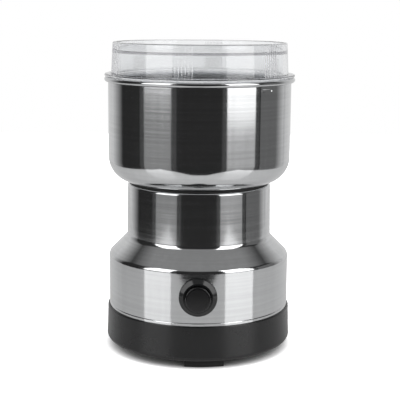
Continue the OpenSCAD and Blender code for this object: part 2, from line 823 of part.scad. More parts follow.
// Carrier: disc under the bowl, bosses for the motor and three legs down to the base
module motor_carrier() {
    pilot_depth = screw_grip + 2;
    color("#2a2a2c") difference() {
        union() {
            post(carrier_r, carrier_z0, carrier_z1);
            post(hub_boss_r, carrier_z0, bowl_z0);
            for (side = [-1, 1]) translate([side * bolt_place, 0, 0])
                post(bracket_leg_d / 2, top_bar_z1, carrier_z0 + joined);
            for (a = leg_angles) rotate([0, 0, a]) translate([leg_place_r, 0, 0])
                post(leg_r, post_z1, carrier_z0 + joined);
        }
        post(bush_r + play, carrier_z0 - over, bowl_z0 + over);
        for (side = [-1, 1]) translate([side * bolt_place, 0, 0]) {
            post(bolt_r + play, top_bar_z1 - over, carrier_z1 + over);
            hexagon(bolt_head_d + 2 * play, carrier_z1 - nut_h, carrier_z1 + over);
        }
        for (a = leg_angles) rotate([0, 0, a]) translate([leg_place_r, 0, 0])
            post(screw_r + running, post_z1 - over, post_z1 + pilot_depth);
    }
}

module hub_bush() {
    color("#b4b6b8") difference() {
        union() {
            post(bush_r, bush_z0, bowl_floor_z + joined);
            translate([0, 0, bowl_floor_z]) rotate_extrude() rounded_profile(
                [[0, 0], [bush_flange_d / 2, 0], [bush_flange_d / 2, bush_flange_t], [0, bush_flange_t]],
                [0, 0, 0.6, 0]);
        }
        post(bush_bore_r, bush_z0 - over, bush_top_z + over);
        post(seal_r, seal_z0, bush_top_z + over);
    }
}

module hub_nut() {
    color("#a8aaac") difference() {
        hexagon(hub_nut_d, carrier_z0 - hub_nut_h, carrier_z0);
        post(bush_r + play, carrier_z0 - hub_nut_h - over, carrier_z0 + over);
    }
}

module shaft_seal() {
    color("#202020") tube(seal_r - play, running_r, seal_z0, seal_z0 + seal_h);
}

// A motor bracket: a bar with round ends, a bearing hub and two legs along the bolts
module bracket_bar(z0) {
    half = bolt_place;
    translate([-half, -bracket_w / 2, z0]) cube([2 * half, bracket_w, bracket_t]);
    for (side = [-1, 1]) translate([side * half, 0, 0]) post(bracket_leg_d / 2, z0, z0 + bracket_t);
}

module bolt_holes(z0, z1) {
    for (side = [-1, 1]) translate([side * bolt_place, 0, 0]) post(bolt_r + play, z0 - over, z1 + over);
}

module motor_top_bracket() {
    color("#8d9093") difference() {
        union() {
            bracket_bar(top_bar_z0);
            post(hub_r, upper_bearing_z0 - hub_lip, top_hub_z1);
            for (side = [-1, 1]) translate([side * bolt_place, 0, 0])
                post(bracket_leg_d / 2, stack_z1, top_bar_z0 + joined);
        }
        post(bearing_d / 2 + play, upper_bearing_z0, top_hub_z1 + over);
        post(shaft_r + 1, upper_bearing_z0 - 2 * over, top_hub_z1);
        bolt_holes(stack_z1, top_bar_z1);
    }
}

module motor_lower_bracket() {
    pedestal_h = brush_z - brush_h / 2 - play - holder_wall - lower_bar_z1;
    color("#2f2f31") difference() {
        union() {
            bracket_bar(lower_bar_z0);
            post(hub_r, lower_hub_z0, lower_bearing_z0 + bearing_h);
            for (side = [-1, 1]) translate([side * bolt_place, 0, 0])
                post(bracket_leg_d / 2, lower_bar_z1 - joined, stack_z0);
            for (side = [0, 180]) rotate([0, 0, side])
                translate([holder_in, -brush_w / 2, lower_bar_z1 - joined])
                    cube([holder_back - holder_in, brush_w, pedestal_h + joined]);
        }
        post(bearing_d / 2 + play, lower_bearing_z0, lower_bearing_z0 + bearing_h + over);
        post(shaft_r + 1, lower_hub_z0 - over, lower_bearing_z0 + over);
        bolt_holes(lower_bar_z0, stack_z0);
    }
}

module motor_bolts() {
    color("#9a9c9e") for (side = [-1, 1]) translate([side * bolt_place, 0, 0]) {
        hexagon(bolt_head_d, lower_bar_z0 - bolt_head_h, lower_bar_z0);
        post(bolt_r, lower_bar_z0 - joined, bolt_top_z);
    }
}

module motor_nuts() {
    color("#9a9c9e") for (side = [-1, 1]) translate([side * bolt_place, 0, 0]) difference() {
        hexagon(bolt_head_d, carrier_z1 - nut_h, bolt_top_z);
        post(bolt_r + play, carrier_z1 - nut_h - over, carrier_z1 + over);
    }
}

module upper_bearing() {
    color("#a98a58") tube(bearing_d / 2, running_r, upper_bearing_z0, upper_bearing_z0 + bearing_h);
}

module lower_bearing() {
    color("#a98a58") tube(bearing_d / 2, running_r, lower_bearing_z0, lower_bearing_z0 + bearing_h);
}

// Laminated stator with two poles, front and rear
module stator_core() {
    flat_x = 2 * (stator_r - 1.5);
    flat_y = 2 * min(stator_r - 3.5, switch_back - switch_room);
    shoe_half_angle = 55;
    color("#6f7174") translate([0, 0, stack_z0]) linear_extrude(stack_h) difference() {
        union() {
            difference() {
                intersection() {
                    circle(stator_r);
                    square([flat_x, flat_y], center = true);
                }
                circle(stator_in_r);
            }
            for (a = [90, 270]) rotate(a) {
                translate([bore_r - joined, -pole_w / 2]) square([stator_in_r - bore_r + 2 * joined, pole_w]);
                intersection() {
                    circle(bore_r + shoe_t);
                    wedge(2 * bore_r, -shoe_half_angle, shoe_half_angle);
                }
            }
        }
        circle(bore_r);
        for (side = [-1, 1]) translate([side * bolt_place, 0]) circle(bolt_r + play);
    }
}

// Two field coils, each a flat ring bent round a pole's neck
module field_coils() {
    coil_half_angle = asin((pole_w / 2 + play + coil_w) / coil_out_r);
    hole = [stator_r, pole_w + 4 * play, stack_h + 4 * play];
    color("#b5652f") for (a = [90, 270]) rotate([0, 0, a]) difference() {
        translate([0, 0, stack_z0 - end_turn_h]) linear_extrude(stack_h + 2 * end_turn_h) intersection() {
            difference() {
                circle(coil_out_r);
                circle(coil_in_r);
            }
            wedge(2 * coil_out_r, -coil_half_angle, coil_half_angle);
        }
        translate([0, -hole[1] / 2, stack_z0 - 2 * play]) cube(hole);
    }
}

module motor_shaft() {
    color("#c0c2c4") post(shaft_r, shaft_z0, shaft_z1);
}

// Slotted armature core
module armature_core() {
    color("#7c7e81") translate([0, 0, stack_z0]) linear_extrude(stack_h) difference() {
        circle(armature_r);
        circle(running_r);
        for (i = [0 : slot_count - 1]) rotate(i * 360 / slot_count) {
            translate([slot_place_r, 0]) circle(slot_r);
            translate([slot_place_r, -slot_mouth / 2]) square([armature_r, slot_mouth]);
        }
    }
}

// Windings: a bar of wire in each slot and a rounded bundle at each end of the core
module winding_end() {
    inner_r = shaft_r + 2.5;
    outer_r = armature_r - 1.2;
    edge_r = 2.5;
    rotate_extrude() rounded_profile(
        [[inner_r, 0], [outer_r, 0], [outer_r, end_turn_h], [inner_r, end_turn_h]],
        [0, 0, edge_r, edge_r]);
}

module armature_windings() {
    color("#b5652f") {
        translate([0, 0, stack_z1]) winding_end();
        translate([0, 0, stack_z0]) mirror([0, 0, 1]) winding_end();
        around(slot_count) translate([slot_place_r, 0, 0])
            post(slot_r - 0.2, stack_z0 - joined, stack_z1 + joined);
    }
}

// Commutator with cut segments
module commutator() {
    groove_w = 0.5;
    groove_depth = 1;
    color("#c07a45") difference() {
        tube(commutator_r, running_r, commutator_z0, commutator_z1);
        around(segment_count) translate([commutator_r - groove_depth, -groove_w / 2, commutator_z0 - over])
            cube([groove_depth + over, groove_w, commutator_h + 2 * over]);
    }
}

// Fan: hub, back plate and leaning blades
module cooling_fan() {
    plate_t = 1.6;
    fan_hub_r = shaft_r + 3;
    vane_t = 1.4;
    vane_lean = 22;
    vane_length = (fan_d / 2 - fan_hub_r) * 0.88;
    color("#efeee8") difference() {
        union() {
            post(fan_d / 2, fan_z1 - plate_t, fan_z1);
            translate([0, 0, fan_z0]) linear_extrude(fan_h - plate_t + joined) {
                circle(fan_hub_r);
                for (i = [0 : fan_blades - 1]) rotate(i * 360 / fan_blades)
                    translate([fan_hub_r - joined, 0]) rotate(vane_lean)
                        translate([0, -vane_t / 2]) square([vane_length, vane_t]);
            }
        }
        post(running_r, fan_z0 - over, fan_z1 + over);
    }
}

// Brush holders: square tubes closed at the back, on the lower bracket
module brush_holders() {
    room = [holder_back - holder_in - holder_wall + over, brush_w + 2 * play, brush_h + 2 * play];
    case_size = [holder_back - holder_in, room[1] + 2 * holder_wall, room[2] + 2 * holder_wall];
    color("#c9a24a") for (side = [0, 180]) rotate([0, 0, side]) translate([0, 0, brush_z]) difference() {
        translate([holder_in, -case_size[1] / 2, -case_size[2] / 2]) cube(case_size);
        translate([holder_in - over, -room[1] / 2, -room[2] / 2]) cube(room);
    }
}

// Carbon brushes, hollowed to the commutator
module carbon_brushes() {
    color("#3a3a3a") for (side = [0, 180]) rotate([0, 0, side]) difference() {
        translate([brush_in - over, -brush_w / 2, brush_z - brush_h / 2])
            cube([brush_length + over, brush_w, brush_h]);
        post(brush_in, commutator_z0 - over, commutator_z1 + over);
    }
}

module brush_springs() {
    brush_back = brush_in + brush_length;
    room = holder_back - holder_wall - brush_back;
    wire_r = 0.3;
    turns = 3;
    color("#b8babc") for (side = [0, 180]) rotate([0, 0, side]) translate([brush_back, 0, brush_z])
        rotate([0, 90, 0]) coil_spring(brush_w / 2 - 2 * wire_r, wire_r, room, turns);
}

// Collar under the blades, with a wide foot that covers the seal
module blade_spacer() {
    color("#1b1b1c") rotate_extrude() rounded_profile(
        [[running_r, spacer_z0], [spacer_d / 2, spacer_z0], [spacer_d / 2, spacer_z0 + spacer_h * 0.35],
         [blade_w / 2, blade_z], [running_r, blade_z]], [0, 0, 0.8, 0, 0]);
}

// A blade's side view: a flat middle and two arms folded by the same angle
function blade_strip(bend, reach) =
    let (along = [cos(bend), sin(bend)], across = [-sin(bend), cos(bend)])
    let (tip = [blade_fold_r, 0] + reach * along, fold_top = blade_fold_r - blade_t * tan(bend / 2))
    let (tip_top = tip + blade_t * across)
    [[-blade_fold_r, 0], [blade_fold_r, 0], tip, tip_top, [fold_top, blade_t], [-fold_top, blade_t],
     [-tip_top[0], tip_top[1]], [-tip[0], tip[1]]];

// A blade's plan: one straight leading edge on each arm, the trailing edges swept to the tips
module blade_plan() {
    tip_cut = 2;
    tip_sweep = 3;
    lead = -blade_w / 2;
    half = [[blade_span / 2 - tip_cut, lead], [blade_span / 2, lead + tip_cut],
            [blade_span / 2 - tip_sweep, lead + blade_tip_w], [blade_fold_r, -lead]];
    polygon(concat(half, -half));
}

// The wedge that grinding takes off the top of an arm's leading edge
module ground_off(bend, reach) {
    ground_w = 2.4;
    edge_t = 0.25;
    lead = -blade_w / 2;
    translate([blade_fold_r, 0, 0]) rotate([0, -bend, 0]) translate([over, 0, 0]) rotate([90, 0, 90])
        linear_extrude(reach) polygon(
            [[lead - over, edge_t - over * (blade_t - edge_t) / ground_w], [lead + ground_w, blade_t],
             [lead + ground_w, blade_t + over], [lead - over, blade_t + over]]);
}

module blade(bend) {
    reach = blade_span / 2 - blade_fold_r + 3 * over;
    difference() {
        intersection() {
            rotate([90, 0, 0]) linear_extrude(2 * blade_w, center = true)
                polygon(blade_strip(bend, reach));
            linear_extrude(2 * blade_span, center = true) blade_plan();
        }
        for (side = [0, 180]) rotate([0, 0, side]) ground_off(bend, reach);
        post(running_r, -over, blade_t + over);
    }
}

module blade_lower() {
    color("#c8cacc") translate([0, 0, blade_z]) rotate([0, 0, blade_turn + 90]) blade(-blade_down_angle);
}

module blade_upper() {
    color("#c8cacc") translate([0, 0, blade_z + blade_t]) rotate([0, 0, blade_turn]) blade(blade_up_angle);
}

module blade_washer() {
    color("#b4b6b8") tube(blade_w / 2 - 0.3, running_r, washer_z, washer_z + washer_t);
}

// Blind nut with a domed top
module blade_nut() {
    dome_r = blade_nut_d / 2 - 0.8;
    top = blade_nut_z + blade_nut_h;
    color("#c8cacc") difference() {
        union() {
            hexagon(blade_nut_d, blade_nut_z, top);
            intersection() {
                translate([0, 0, top - 1]) sphere(dome_r);
                post(dome_r + over, top - joined, top + dome_r);
            }
        }
        post(running_r, blade_nut_z - over, shaft_z1 + 0.3);
    }
}

lid();
bowl();
bowl_gasket();
body_shell();
base();
feet();
base_screws();
cord_gland();
button_bezel();
bezel_nut();
button_cap();
button_spring();
switch_body();
switch_plunger();
switch_terminals();
motor_carrier();
hub_bush();
hub_nut();
shaft_seal();
motor_top_bracket();
motor_lower_bracket();
motor_bolts();
motor_nuts();
upper_bearing();
lower_bearing();
stator_core();
field_coils();
motor_shaft();
armature_core();
armature_windings();
commutator();
cooling_fan();
brush_holders();
carbon_brushes();
brush_springs();
blade_spacer();
blade_lower();
blade_upper();
blade_washer();
blade_nut();
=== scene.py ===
"""Electric coffee grinder: the looks of each piece, the studio and the camera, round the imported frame."""
import json
import math

import bmesh
import bpy
from mathutils import Matrix, Vector


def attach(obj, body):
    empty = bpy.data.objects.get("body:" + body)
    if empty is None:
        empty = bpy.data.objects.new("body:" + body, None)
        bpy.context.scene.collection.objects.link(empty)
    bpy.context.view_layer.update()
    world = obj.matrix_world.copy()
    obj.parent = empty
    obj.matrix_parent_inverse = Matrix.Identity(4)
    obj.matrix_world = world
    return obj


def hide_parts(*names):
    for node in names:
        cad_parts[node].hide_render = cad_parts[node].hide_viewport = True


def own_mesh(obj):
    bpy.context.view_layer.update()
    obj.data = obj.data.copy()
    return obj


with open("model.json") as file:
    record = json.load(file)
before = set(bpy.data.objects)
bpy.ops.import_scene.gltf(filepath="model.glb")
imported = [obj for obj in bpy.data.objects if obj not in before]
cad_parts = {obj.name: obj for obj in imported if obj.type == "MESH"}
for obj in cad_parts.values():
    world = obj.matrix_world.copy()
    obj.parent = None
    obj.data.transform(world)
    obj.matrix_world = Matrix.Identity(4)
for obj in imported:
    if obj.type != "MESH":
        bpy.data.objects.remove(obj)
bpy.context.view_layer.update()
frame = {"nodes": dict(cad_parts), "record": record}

MM = 0.001
MATH = "ShaderNodeMath"

# Sizes are in millimetres and turns in degrees from the front, as in the part's source

# Steel body
BODY_R = 50.0
NECK_R = 40.0
NECK_TOP_R = 39.6
STEEL_T = 0.6
SHELL_Z0 = 19.2
SHOULDER_Z = 52.4
NECK_Z = 62.5
NECK_TOP_Z = 91.7
SHOULDER_EDGE_R = 3.0
SHOULDER_ROOT_R = 3.2
NECK_EDGE_R = 1.5
FLANGE_IN_R = 32.0
# The hem line pressed in above the base
HEM_Z = 24.7
HEM_HALF_W = 0.25
HEM_DEPTH = 0.2

# Bowl
BOWL_R = 50.0
BOWL_Z0 = 92.7
BOWL_FLOOR_Z = 93.3
BOWL_CORNER_R = 13.5
BOWL_HOLE_R = 7.1
BEAD_R = 1.3
BEAD_PLACE_R = 50.7
BEAD_Z = 148.6
BEAD_STEPS = 30
# The seam where the rolled rim ends against the wall
SEAM_DEPTH = 0.3
SEAM_H = 0.35
# Two opposite dimples, with finer rows and angles of the mesh round them
DIMPLE_Z = 144.9
DIMPLE_HALF = 3.0
DIMPLE_R = 1.3
DIMPLE_DEPTH = 0.3
DIMPLE_TURN = 44.0
DIMPLE_SIDES = (0, 180)
DIMPLE_ROWS = 12
DIMPLE_ROW_REACH = 1.15
DIMPLE_STEPS = 32
DIMPLE_REACH_ANGLE = 6
PLAIN_STEP_ANGLE = 2

# Lid
LID_SEAT_Z = 150.2
LID_FLANGE_Z = 151.6
LID_TOP_Z = 168.5
LID_PLATE_Z1 = 164.0
LID_PLATE_Z0 = 163.0
LID_SKIRT_Z0 = 141.0
LID_FLANGE_R = 51.8
LID_WALL_R = 48.3
LID_RIM_R = 47.4
LID_SKIRT_R = 48.5
LID_WALL_T = 2.2
RIB_R = 0.6
RIB_SINK = 0.2
RIB_ROOT = 0.5
RIB_TOP_Z = 167.3
RIB_GROUPS = 6
RIBS_PER_GROUP = 6
RIB_PITCH = 1.8
RIB_TURN = -10.0
# The slots in the skirt that take the bowl's dimples, and how far their cutting shapes reach past the wall
SLOT_Z1 = 148.0
SLOT_LIP = 1.2
SLOT_HALF_ANGLE = 7.22
SLOT_LOCK_ANGLE = 22.0
SLOT_BELOW = 1.0
SLOT_INWARDS = 5.0
SLOT_OUTWARDS = 2.5

# Button, and how far the shape that bores its hole reaches on both sides of the wall
BUTTON_Z = 39.0
SHELL_HOLE_R = 8.4
BORE_REACH = 6.0
BEZEL_R = 10.05
CAP_R = 6.7
CAP_FRONT = 56.0
CAP_EDGE_R = 0.6
CAP_INNER_R = 0.4
CAP_T = 1.3
CAP_CROWN = 0.25
CROWN_STEPS = 8
CAP_FLANGE_R = 7.2
CAP_FLANGE_FRONT = 49.7
CAP_BACK = 48.2
SPRING_BACK = 40.0
SPRING_R = 4.2
SPRING_WIRE_R = 0.44
SPRING_TURNS = 6.0
SPRING_PLAY = 0.05

# Base screws, their heads up in the base's posts
SCREW_R = 1.5
SCREW_HEAD_R = 3.0
SCREW_HEAD_Z0 = 6.8
SCREW_HEAD_Z1 = 9.0
SCREW_TOP_Z = 27.0
SCREW_EDGE_R = 0.7
SCREW_TIP_R = 0.3
SCREW_PLACE_R = 34.5
SCREW_COUNT = 3
RECESS_LENGTH = 3.6
RECESS_W = 0.9
RECESS_DEPTH = 1.3

# Blades
BLADE_EDGE = 0.1

# Steps round the axis of the turned shapes
SHELL_STEPS = 240
BORE_STEPS = 64
LID_STEPS = 288
CAP_STEPS = 128
SCREW_STEPS = 40


def linear(hex_colour):
    """sRGB hex colour as linear RGBA."""
    values = [int(hex_colour[i:i + 2], 16) / 255 for i in (1, 3, 5)]
    return [v / 12.92 if v <= 0.04045 else ((v + 0.055) / 1.055) ** 2.4 for v in values] + [1.0]


def feed(tree, node, inputs):
    """Sets a node's inputs; each is a value, a socket or node to link from, or a list of such sources."""
    for key, value in inputs.items():
        sources = value if isinstance(value, list) else [value]
        if not isinstance(sources[0], (bpy.types.Node, bpy.types.NodeSocket)):
            node.inputs[key].default_value = value
            continue
        for source in sources:
            socket = source.outputs[0] if isinstance(source, bpy.types.Node) else source
            tree.links.new(socket, node.inputs[key])


def add(tree, kind, inputs=None, **settings):
    """Adds a node with its settings and inputs."""
    made = tree.nodes.new(kind)
    for name, value in settings.items():
        setattr(made, name, value)
    feed(tree, made, inputs or {})
    return made


def in_scene(name, data):
    made = bpy.data.objects.new(name, data)
    bpy.context.scene.collection.objects.link(made)
    return made


# Camera: fitted to the photograph's ellipses, with its dip below level and its roll in degrees
SENSOR_W = 36
LENS = 93.05
CAMERA_PLACE = (0.00064, -0.568, 0.185)
CAMERA_DIP = 10.356
CAMERA_ROLL = 0.43

camera = in_scene("camera", bpy.data.cameras.new("camera"))
camera.data.sensor_width = SENSOR_W
camera.data.lens = LENS
dip = Matrix.Rotation(math.radians(90 - CAMERA_DIP), 4, "X")
roll = Matrix.Rotation(math.radians(CAMERA_ROLL), 4, "Z")
camera.matrix_world = Matrix.Translation(CAMERA_PLACE) @ dip @ roll
bpy.context.scene.camera = camera
bpy.context.scene.view_settings.view_transform = "Standard"


# Meshes

# Faces that meet at more than this angle keep a sharp edge
SHARP_ANGLE = 35
# Beside each fillet lies a short straight step, so that the flat next to it is shaded flat
STEP_SHARE = 0.2
STEP_MAX = 0.3


def rounded(corners, step=10):
    """A closed outline, counter-clockwise, through corners of (radius, height, fillet radius). Its arcs
    have a point at least every step degrees."""
    outline = []
    points = [Vector(corner[:2]) for corner in corners]
    for i, corner in enumerate(points):
        fillet = corners[i][2]
        if fillet == 0:
            outline.append(corner)
            continue
        back = (points[i - 1] - corner).normalized()
        ahead = (points[(i + 1) % len(points)] - corner).normalized()
        half = back.angle(ahead) / 2
        run = fillet / math.tan(half)
        centre = corner + (back + ahead).normalized() * fillet / math.sin(half)
        start = corner + back * run
        end = corner + ahead * run
        sweep = (start - centre).angle_signed(end - centre)
        pieces = max(2, math.ceil(abs(math.degrees(sweep)) / step))
        straight = min(STEP_SHARE * fillet, STEP_MAX)
        outline.append(start + back * straight)
        for k in range(pieces + 1):
            turned = start - centre
            turned.rotate(Matrix.Rotation(-sweep * k / pieces, 2))
            outline.append(centre + turned)
        outline.append(end + ahead * straight)
    return outline


def even_angles(count):
    return [2 * math.pi * i / count for i in range(count)]


def round_axis(radius, angle, height):
    """A point, in metres, from a radius and a height in millimetres and an angle round Z."""
    return (radius * math.cos(angle) * MM, radius * math.sin(angle) * MM, height * MM)


def lathe(outline, angles):
    """Turns a closed outline of (radius, height) in millimetres round Z; points on the axis become poles."""
    bm = bmesh.new()
    rings = []
    for radius, height in outline:
        ring_angles = angles if radius > 0 else angles[:1]
        rings.append([bm.verts.new(round_axis(radius, a, height)) for a in ring_angles])
    turns = len(angles)
    for low, high in zip(rings, rings[1:] + rings[:1]):
        if len(low) == 1 and len(high) == 1:
            continue
        for k in range(turns):
            n = (k + 1) % turns
            corners = [low[k % len(low)], low[n % len(low)], high[n % len(high)], high[k % len(high)]]
            bm.faces.new(list(dict.fromkeys(corners)))
    return bm


def closed_mesh(name, bm):
    """Turns a closed bmesh into a mesh whose faces point outwards."""
    bmesh.ops.recalc_face_normals(bm, faces=bm.faces)
    mesh = bpy.data.meshes.new(name)
    bm.to_mesh(mesh)
    bm.free()
    return mesh


def piece(name, mesh, material, body, slot, *nodes):
    """Puts a finished mesh in the scene: smooth with sharp corners, with its material and body. The slot is
    not used.
    """
    mesh.polygons.foreach_set("use_smooth", [True] * len(mesh.polygons))
    mesh.set_sharp_from_angle(angle=math.radians(SHARP_ANGLE))
    mesh.materials.clear()
    mesh.materials.append(material)
    made = in_scene(name, mesh)
    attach(made, body)
    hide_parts(*nodes)
    return made


def evaluated(holder):
    """A plain mesh of what an object's modifiers make; the object is removed."""
    graph = bpy.context.evaluated_depsgraph_get()
    mesh = bpy.data.meshes.new_from_object(holder.evaluated_get(graph), depsgraph=graph)
    holder.modifiers.clear()
    bpy.data.objects.remove(holder)
    return mesh


def cut_away(mesh, tool_mesh):
    """The mesh less the tool's shape."""
    holder = in_scene(mesh.name, mesh)
    tool = in_scene("tool", tool_mesh)
    modifier = holder.modifiers.new("cut", "BOOLEAN")
    modifier.operation = "DIFFERENCE"
    modifier.solver = "EXACT"
    modifier.object = tool
    result = evaluated(holder)
    bpy.data.objects.remove(tool)
    return result


def grown(tree, mesh, values):
    """A plain mesh of what a Geometry Nodes tree makes of a mesh, with its inputs set by their labels."""
    holder = in_scene(tree.name, mesh)
    modifier = holder.modifiers.new(tree.name, "NODES")
    modifier.node_group = tree
    for item in tree.interface.items_tree:
        if item.in_out == "INPUT" and item.name in values:
            modifier[item.identifier] = values[item.name]
    return evaluated(holder)


def new_tree(name, inputs):
    """A Geometry Nodes tree with a geometry in and out and the labelled inputs; also its input sockets."""
    tree = bpy.data.node_groups.new(name, "GeometryNodeTree")
    tree.interface.new_socket("Geometry", in_out="INPUT", socket_type="NodeSocketGeometry")
    for label, kind in inputs.items():
        tree.interface.new_socket(label, in_out="INPUT", socket_type="NodeSocket" + kind)
    tree.interface.new_socket("Geometry", in_out="OUTPUT", socket_type="NodeSocketGeometry")
    return tree, add(tree, "NodeGroupInput").outputs


def end_tree(tree, geometry, material):
    """Ends a tree: real geometry with its material."""
    real = add(tree, "GeometryNodeRealizeInstances", {"Geometry": geometry})
    dressed = add(tree, "GeometryNodeSetMaterial", {"Geometry": real, "Material": material})
    add(tree, "NodeGroupOutput", {"Geometry": dressed})
    return tree


# Materials

# The range that a noise mostly keeps to, and how far roughness strays from its mean
NOISE_LOW = 0.3
NOISE_HIGH = 0.7
MOULDED_SPREAD = 0.12
METAL_SPREAD = 0.2
# The size of a moulding's cloudy mottle and of the slow waves in a clear moulding
MOTTLE_MM = 16
WAVE_MM = 11
# Polishing rings and drawing streaks in the steel: the size of their marks along X, Y and Z, and how faint
# the streaks are beside the rings
RING_MM = (83.333, 83.333, 0.9)
STREAK_MM = (2.4, 2.4, 111.11)
STREAK_SHARE = 0.5
# Light that has been mirrored more often than this is let out of the clear plastic
CAUGHT_BOUNCES = 2.5


def pattern_scale(sizes_mm):
    """A pattern's scale along X, Y and Z from the real size of its marks."""
    return tuple(1 / (size * MM) for size in sizes_mm)


def new_material(name):
    material = bpy.data.materials.new(name)
    material.use_nodes = True
    tree = material.node_tree
    return material, tree, tree.nodes["Principled BSDF"]


def stainless_steel():
    """Drawn stainless steel, polished on a lathe: nearly a mirror. The polishing rings, drawn coarser than
    real ones so that they show, spread its reflections upright. Faint upright streaks come from drawing."""
    material, tree, shader = new_material("polished_stainless_steel")
    place = add(tree, "ShaderNodeTexCoord").outputs["Object"]
    rings = add(tree, "ShaderNodeMapping", {"Vector": place, "Scale": pattern_scale(RING_MM)})
    ring_noise = add(tree, "ShaderNodeTexNoise", {"Vector": rings, "Scale": 1.0, "Detail": 3.0})
    streaks = add(tree, "ShaderNodeMapping", {"Vector": place, "Scale": pattern_scale(STREAK_MM)})
    streak_noise = add(tree, "ShaderNodeTexNoise", {"Vector": streaks, "Scale": 1.0, "Detail": 2.0})
    faint_streaks = add(tree, MATH, {0: streak_noise, 1: STREAK_SHARE}, operation="MULTIPLY")
    both = add(tree, MATH, {0: ring_noise, 1: faint_streaks}, operation="ADD")
    rough = add(tree, "ShaderNodeMapRange", {"Value": both, "From Min": 0.45, "From Max": 1.05,
                                             "To Min": 0.07, "To Max": 0.12})
    tint = add(tree, "ShaderNodeMapRange", {"Value": both, "From Min": 0.5, "From Max": 1.0})
    colour = add(tree, "ShaderNodeMix", {"Factor": tint, "A": linear("#c6c7c8"), "B": linear("#d1d2d3")},
                 data_type="RGBA")
    bump = add(tree, "ShaderNodeBump", {"Height": both, "Strength": 0.25, "Distance": 0.02 * MM})
    tangent = add(tree, "ShaderNodeTangent", direction_type="RADIAL", axis="Z")
    feed(tree, shader, {
        "Metallic": 1, "Anisotropic": 0.6, "Anisotropic Rotation": 0.25, "Tangent": tangent,
        "Base Color": colour.outputs["Result"], "Roughness": rough, "Normal": bump})
    return material


def clear_plastic():
    """Clear moulded polystyrene: nearly colourless, with the mould's slight waviness and a soft surface.
    Lamps shine through it, and light caught between its faces gets out with a grey tint, so its edges and
    ribs are pale lines, not black ones."""
    material, tree, shader = new_material("clear_polystyrene")
    place = add(tree, "ShaderNodeTexCoord").outputs["Object"]
    waves = add(tree, "ShaderNodeTexNoise", {"Vector": place, "Scale": 1 / (WAVE_MM * MM), "Detail": 1.0})
    bump = add(tree, "ShaderNodeBump", {"Height": waves, "Strength": 0.1, "Distance": 0.2 * MM})
    rough = add(tree, "ShaderNodeMapRange", {
        "Value": waves, "From Min": NOISE_LOW, "From Max": NOISE_HIGH, "To Min": 0.05, "To Max": 0.1})
    feed(tree, shader, {
        "Base Color": linear("#f3f4f5"), "Transmission Weight": 1, "IOR": 1.59, "Roughness": rough,
        "Normal": bump})
    path = add(tree, "ShaderNodeLightPath").outputs
    caught = add(tree, MATH, {0: path["Glossy Depth"], 1: CAUGHT_BOUNCES}, operation="GREATER_THAN")
    passes = add(tree, MATH, {0: path["Is Shadow Ray"], 1: caught}, operation="MAXIMUM")
    tint = add(tree, "ShaderNodeMix", {"Factor": caught, "A": linear("#f7f7f8"), "B": linear("#d9d9db")},
               data_type="RGBA")
    through = add(tree, "ShaderNodeBsdfTransparent", {"Color": tint.outputs["Result"]})
    mix = add(tree, "ShaderNodeMixShader", {0: passes, 1: shader, 2: through})
    feed(tree, tree.nodes["Material Output"], {"Surface": mix})
    return material


def moulded(name, colour, lighter, roughness, grain_mm, relief_mm, ior=1.5):
    """A moulded plastic or rubber: the mould's fine grain, and a slight mottle of its colour and gloss."""
    material, tree, shader = new_material(name)
    place = add(tree, "ShaderNodeTexCoord").outputs["Object"]
    grain = add(tree, "ShaderNodeTexNoise", {"Vector": place, "Scale": 1 / (grain_mm * MM), "Detail": 2.0})
    mottle = add(tree, "ShaderNodeTexNoise", {"Vector": place, "Scale": 1 / (MOTTLE_MM * MM),
                                              "Detail": 3.0})
    mix = add(tree, "ShaderNodeMix", {"Factor": mottle, "A": linear(colour), "B": linear(lighter)},
              data_type="RGBA")
    rough = add(tree, "ShaderNodeMapRange", {
        "Value": mottle, "From Min": NOISE_LOW, "From Max": NOISE_HIGH,
        "To Min": roughness * (1 - MOULDED_SPREAD), "To Max": roughness * (1 + MOULDED_SPREAD)})
    bump = add(tree, "ShaderNodeBump", {"Height": grain, "Strength": 0.5, "Distance": relief_mm * MM})
    feed(tree, shader, {
        "IOR": ior, "Base Color": mix.outputs["Result"], "Roughness": rough, "Normal": bump})
    return material


def button_abs():
    """Gloss ABS of the push button: fingers have dulled its face, and its rounded edge still shines."""
    material = moulded("gloss_abs", "#0d0d0e", "#111112", 0.3, 0.6, 0.004)
    tree = material.node_tree
    shader = tree.nodes["Principled BSDF"]
    place = add(tree, "ShaderNodeTexCoord").outputs["Object"]
    across = add(tree, "ShaderNodeMapping", {"Vector": place, "Location": (0, 0, -BUTTON_Z * MM),
                                             "Scale": (1, 0, 1)})
    from_middle = add(tree, "ShaderNodeVectorMath", {0: across}, operation="LENGTH")
    worn_r = CAP_R - CAP_EDGE_R
    dull = add(tree, "ShaderNodeMapRange", {
        "Value": from_middle.outputs["Value"], "From Min": (worn_r - CAP_EDGE_R) * MM,
        "From Max": worn_r * MM, "To Min": 1.0, "To Max": 0.2})
    mottled = shader.inputs["Roughness"].links[0].from_socket
    rough = add(tree, MATH, {0: mottled, 1: dull}, operation="MULTIPLY")
    feed(tree, shader, {"Roughness": rough})
    return material


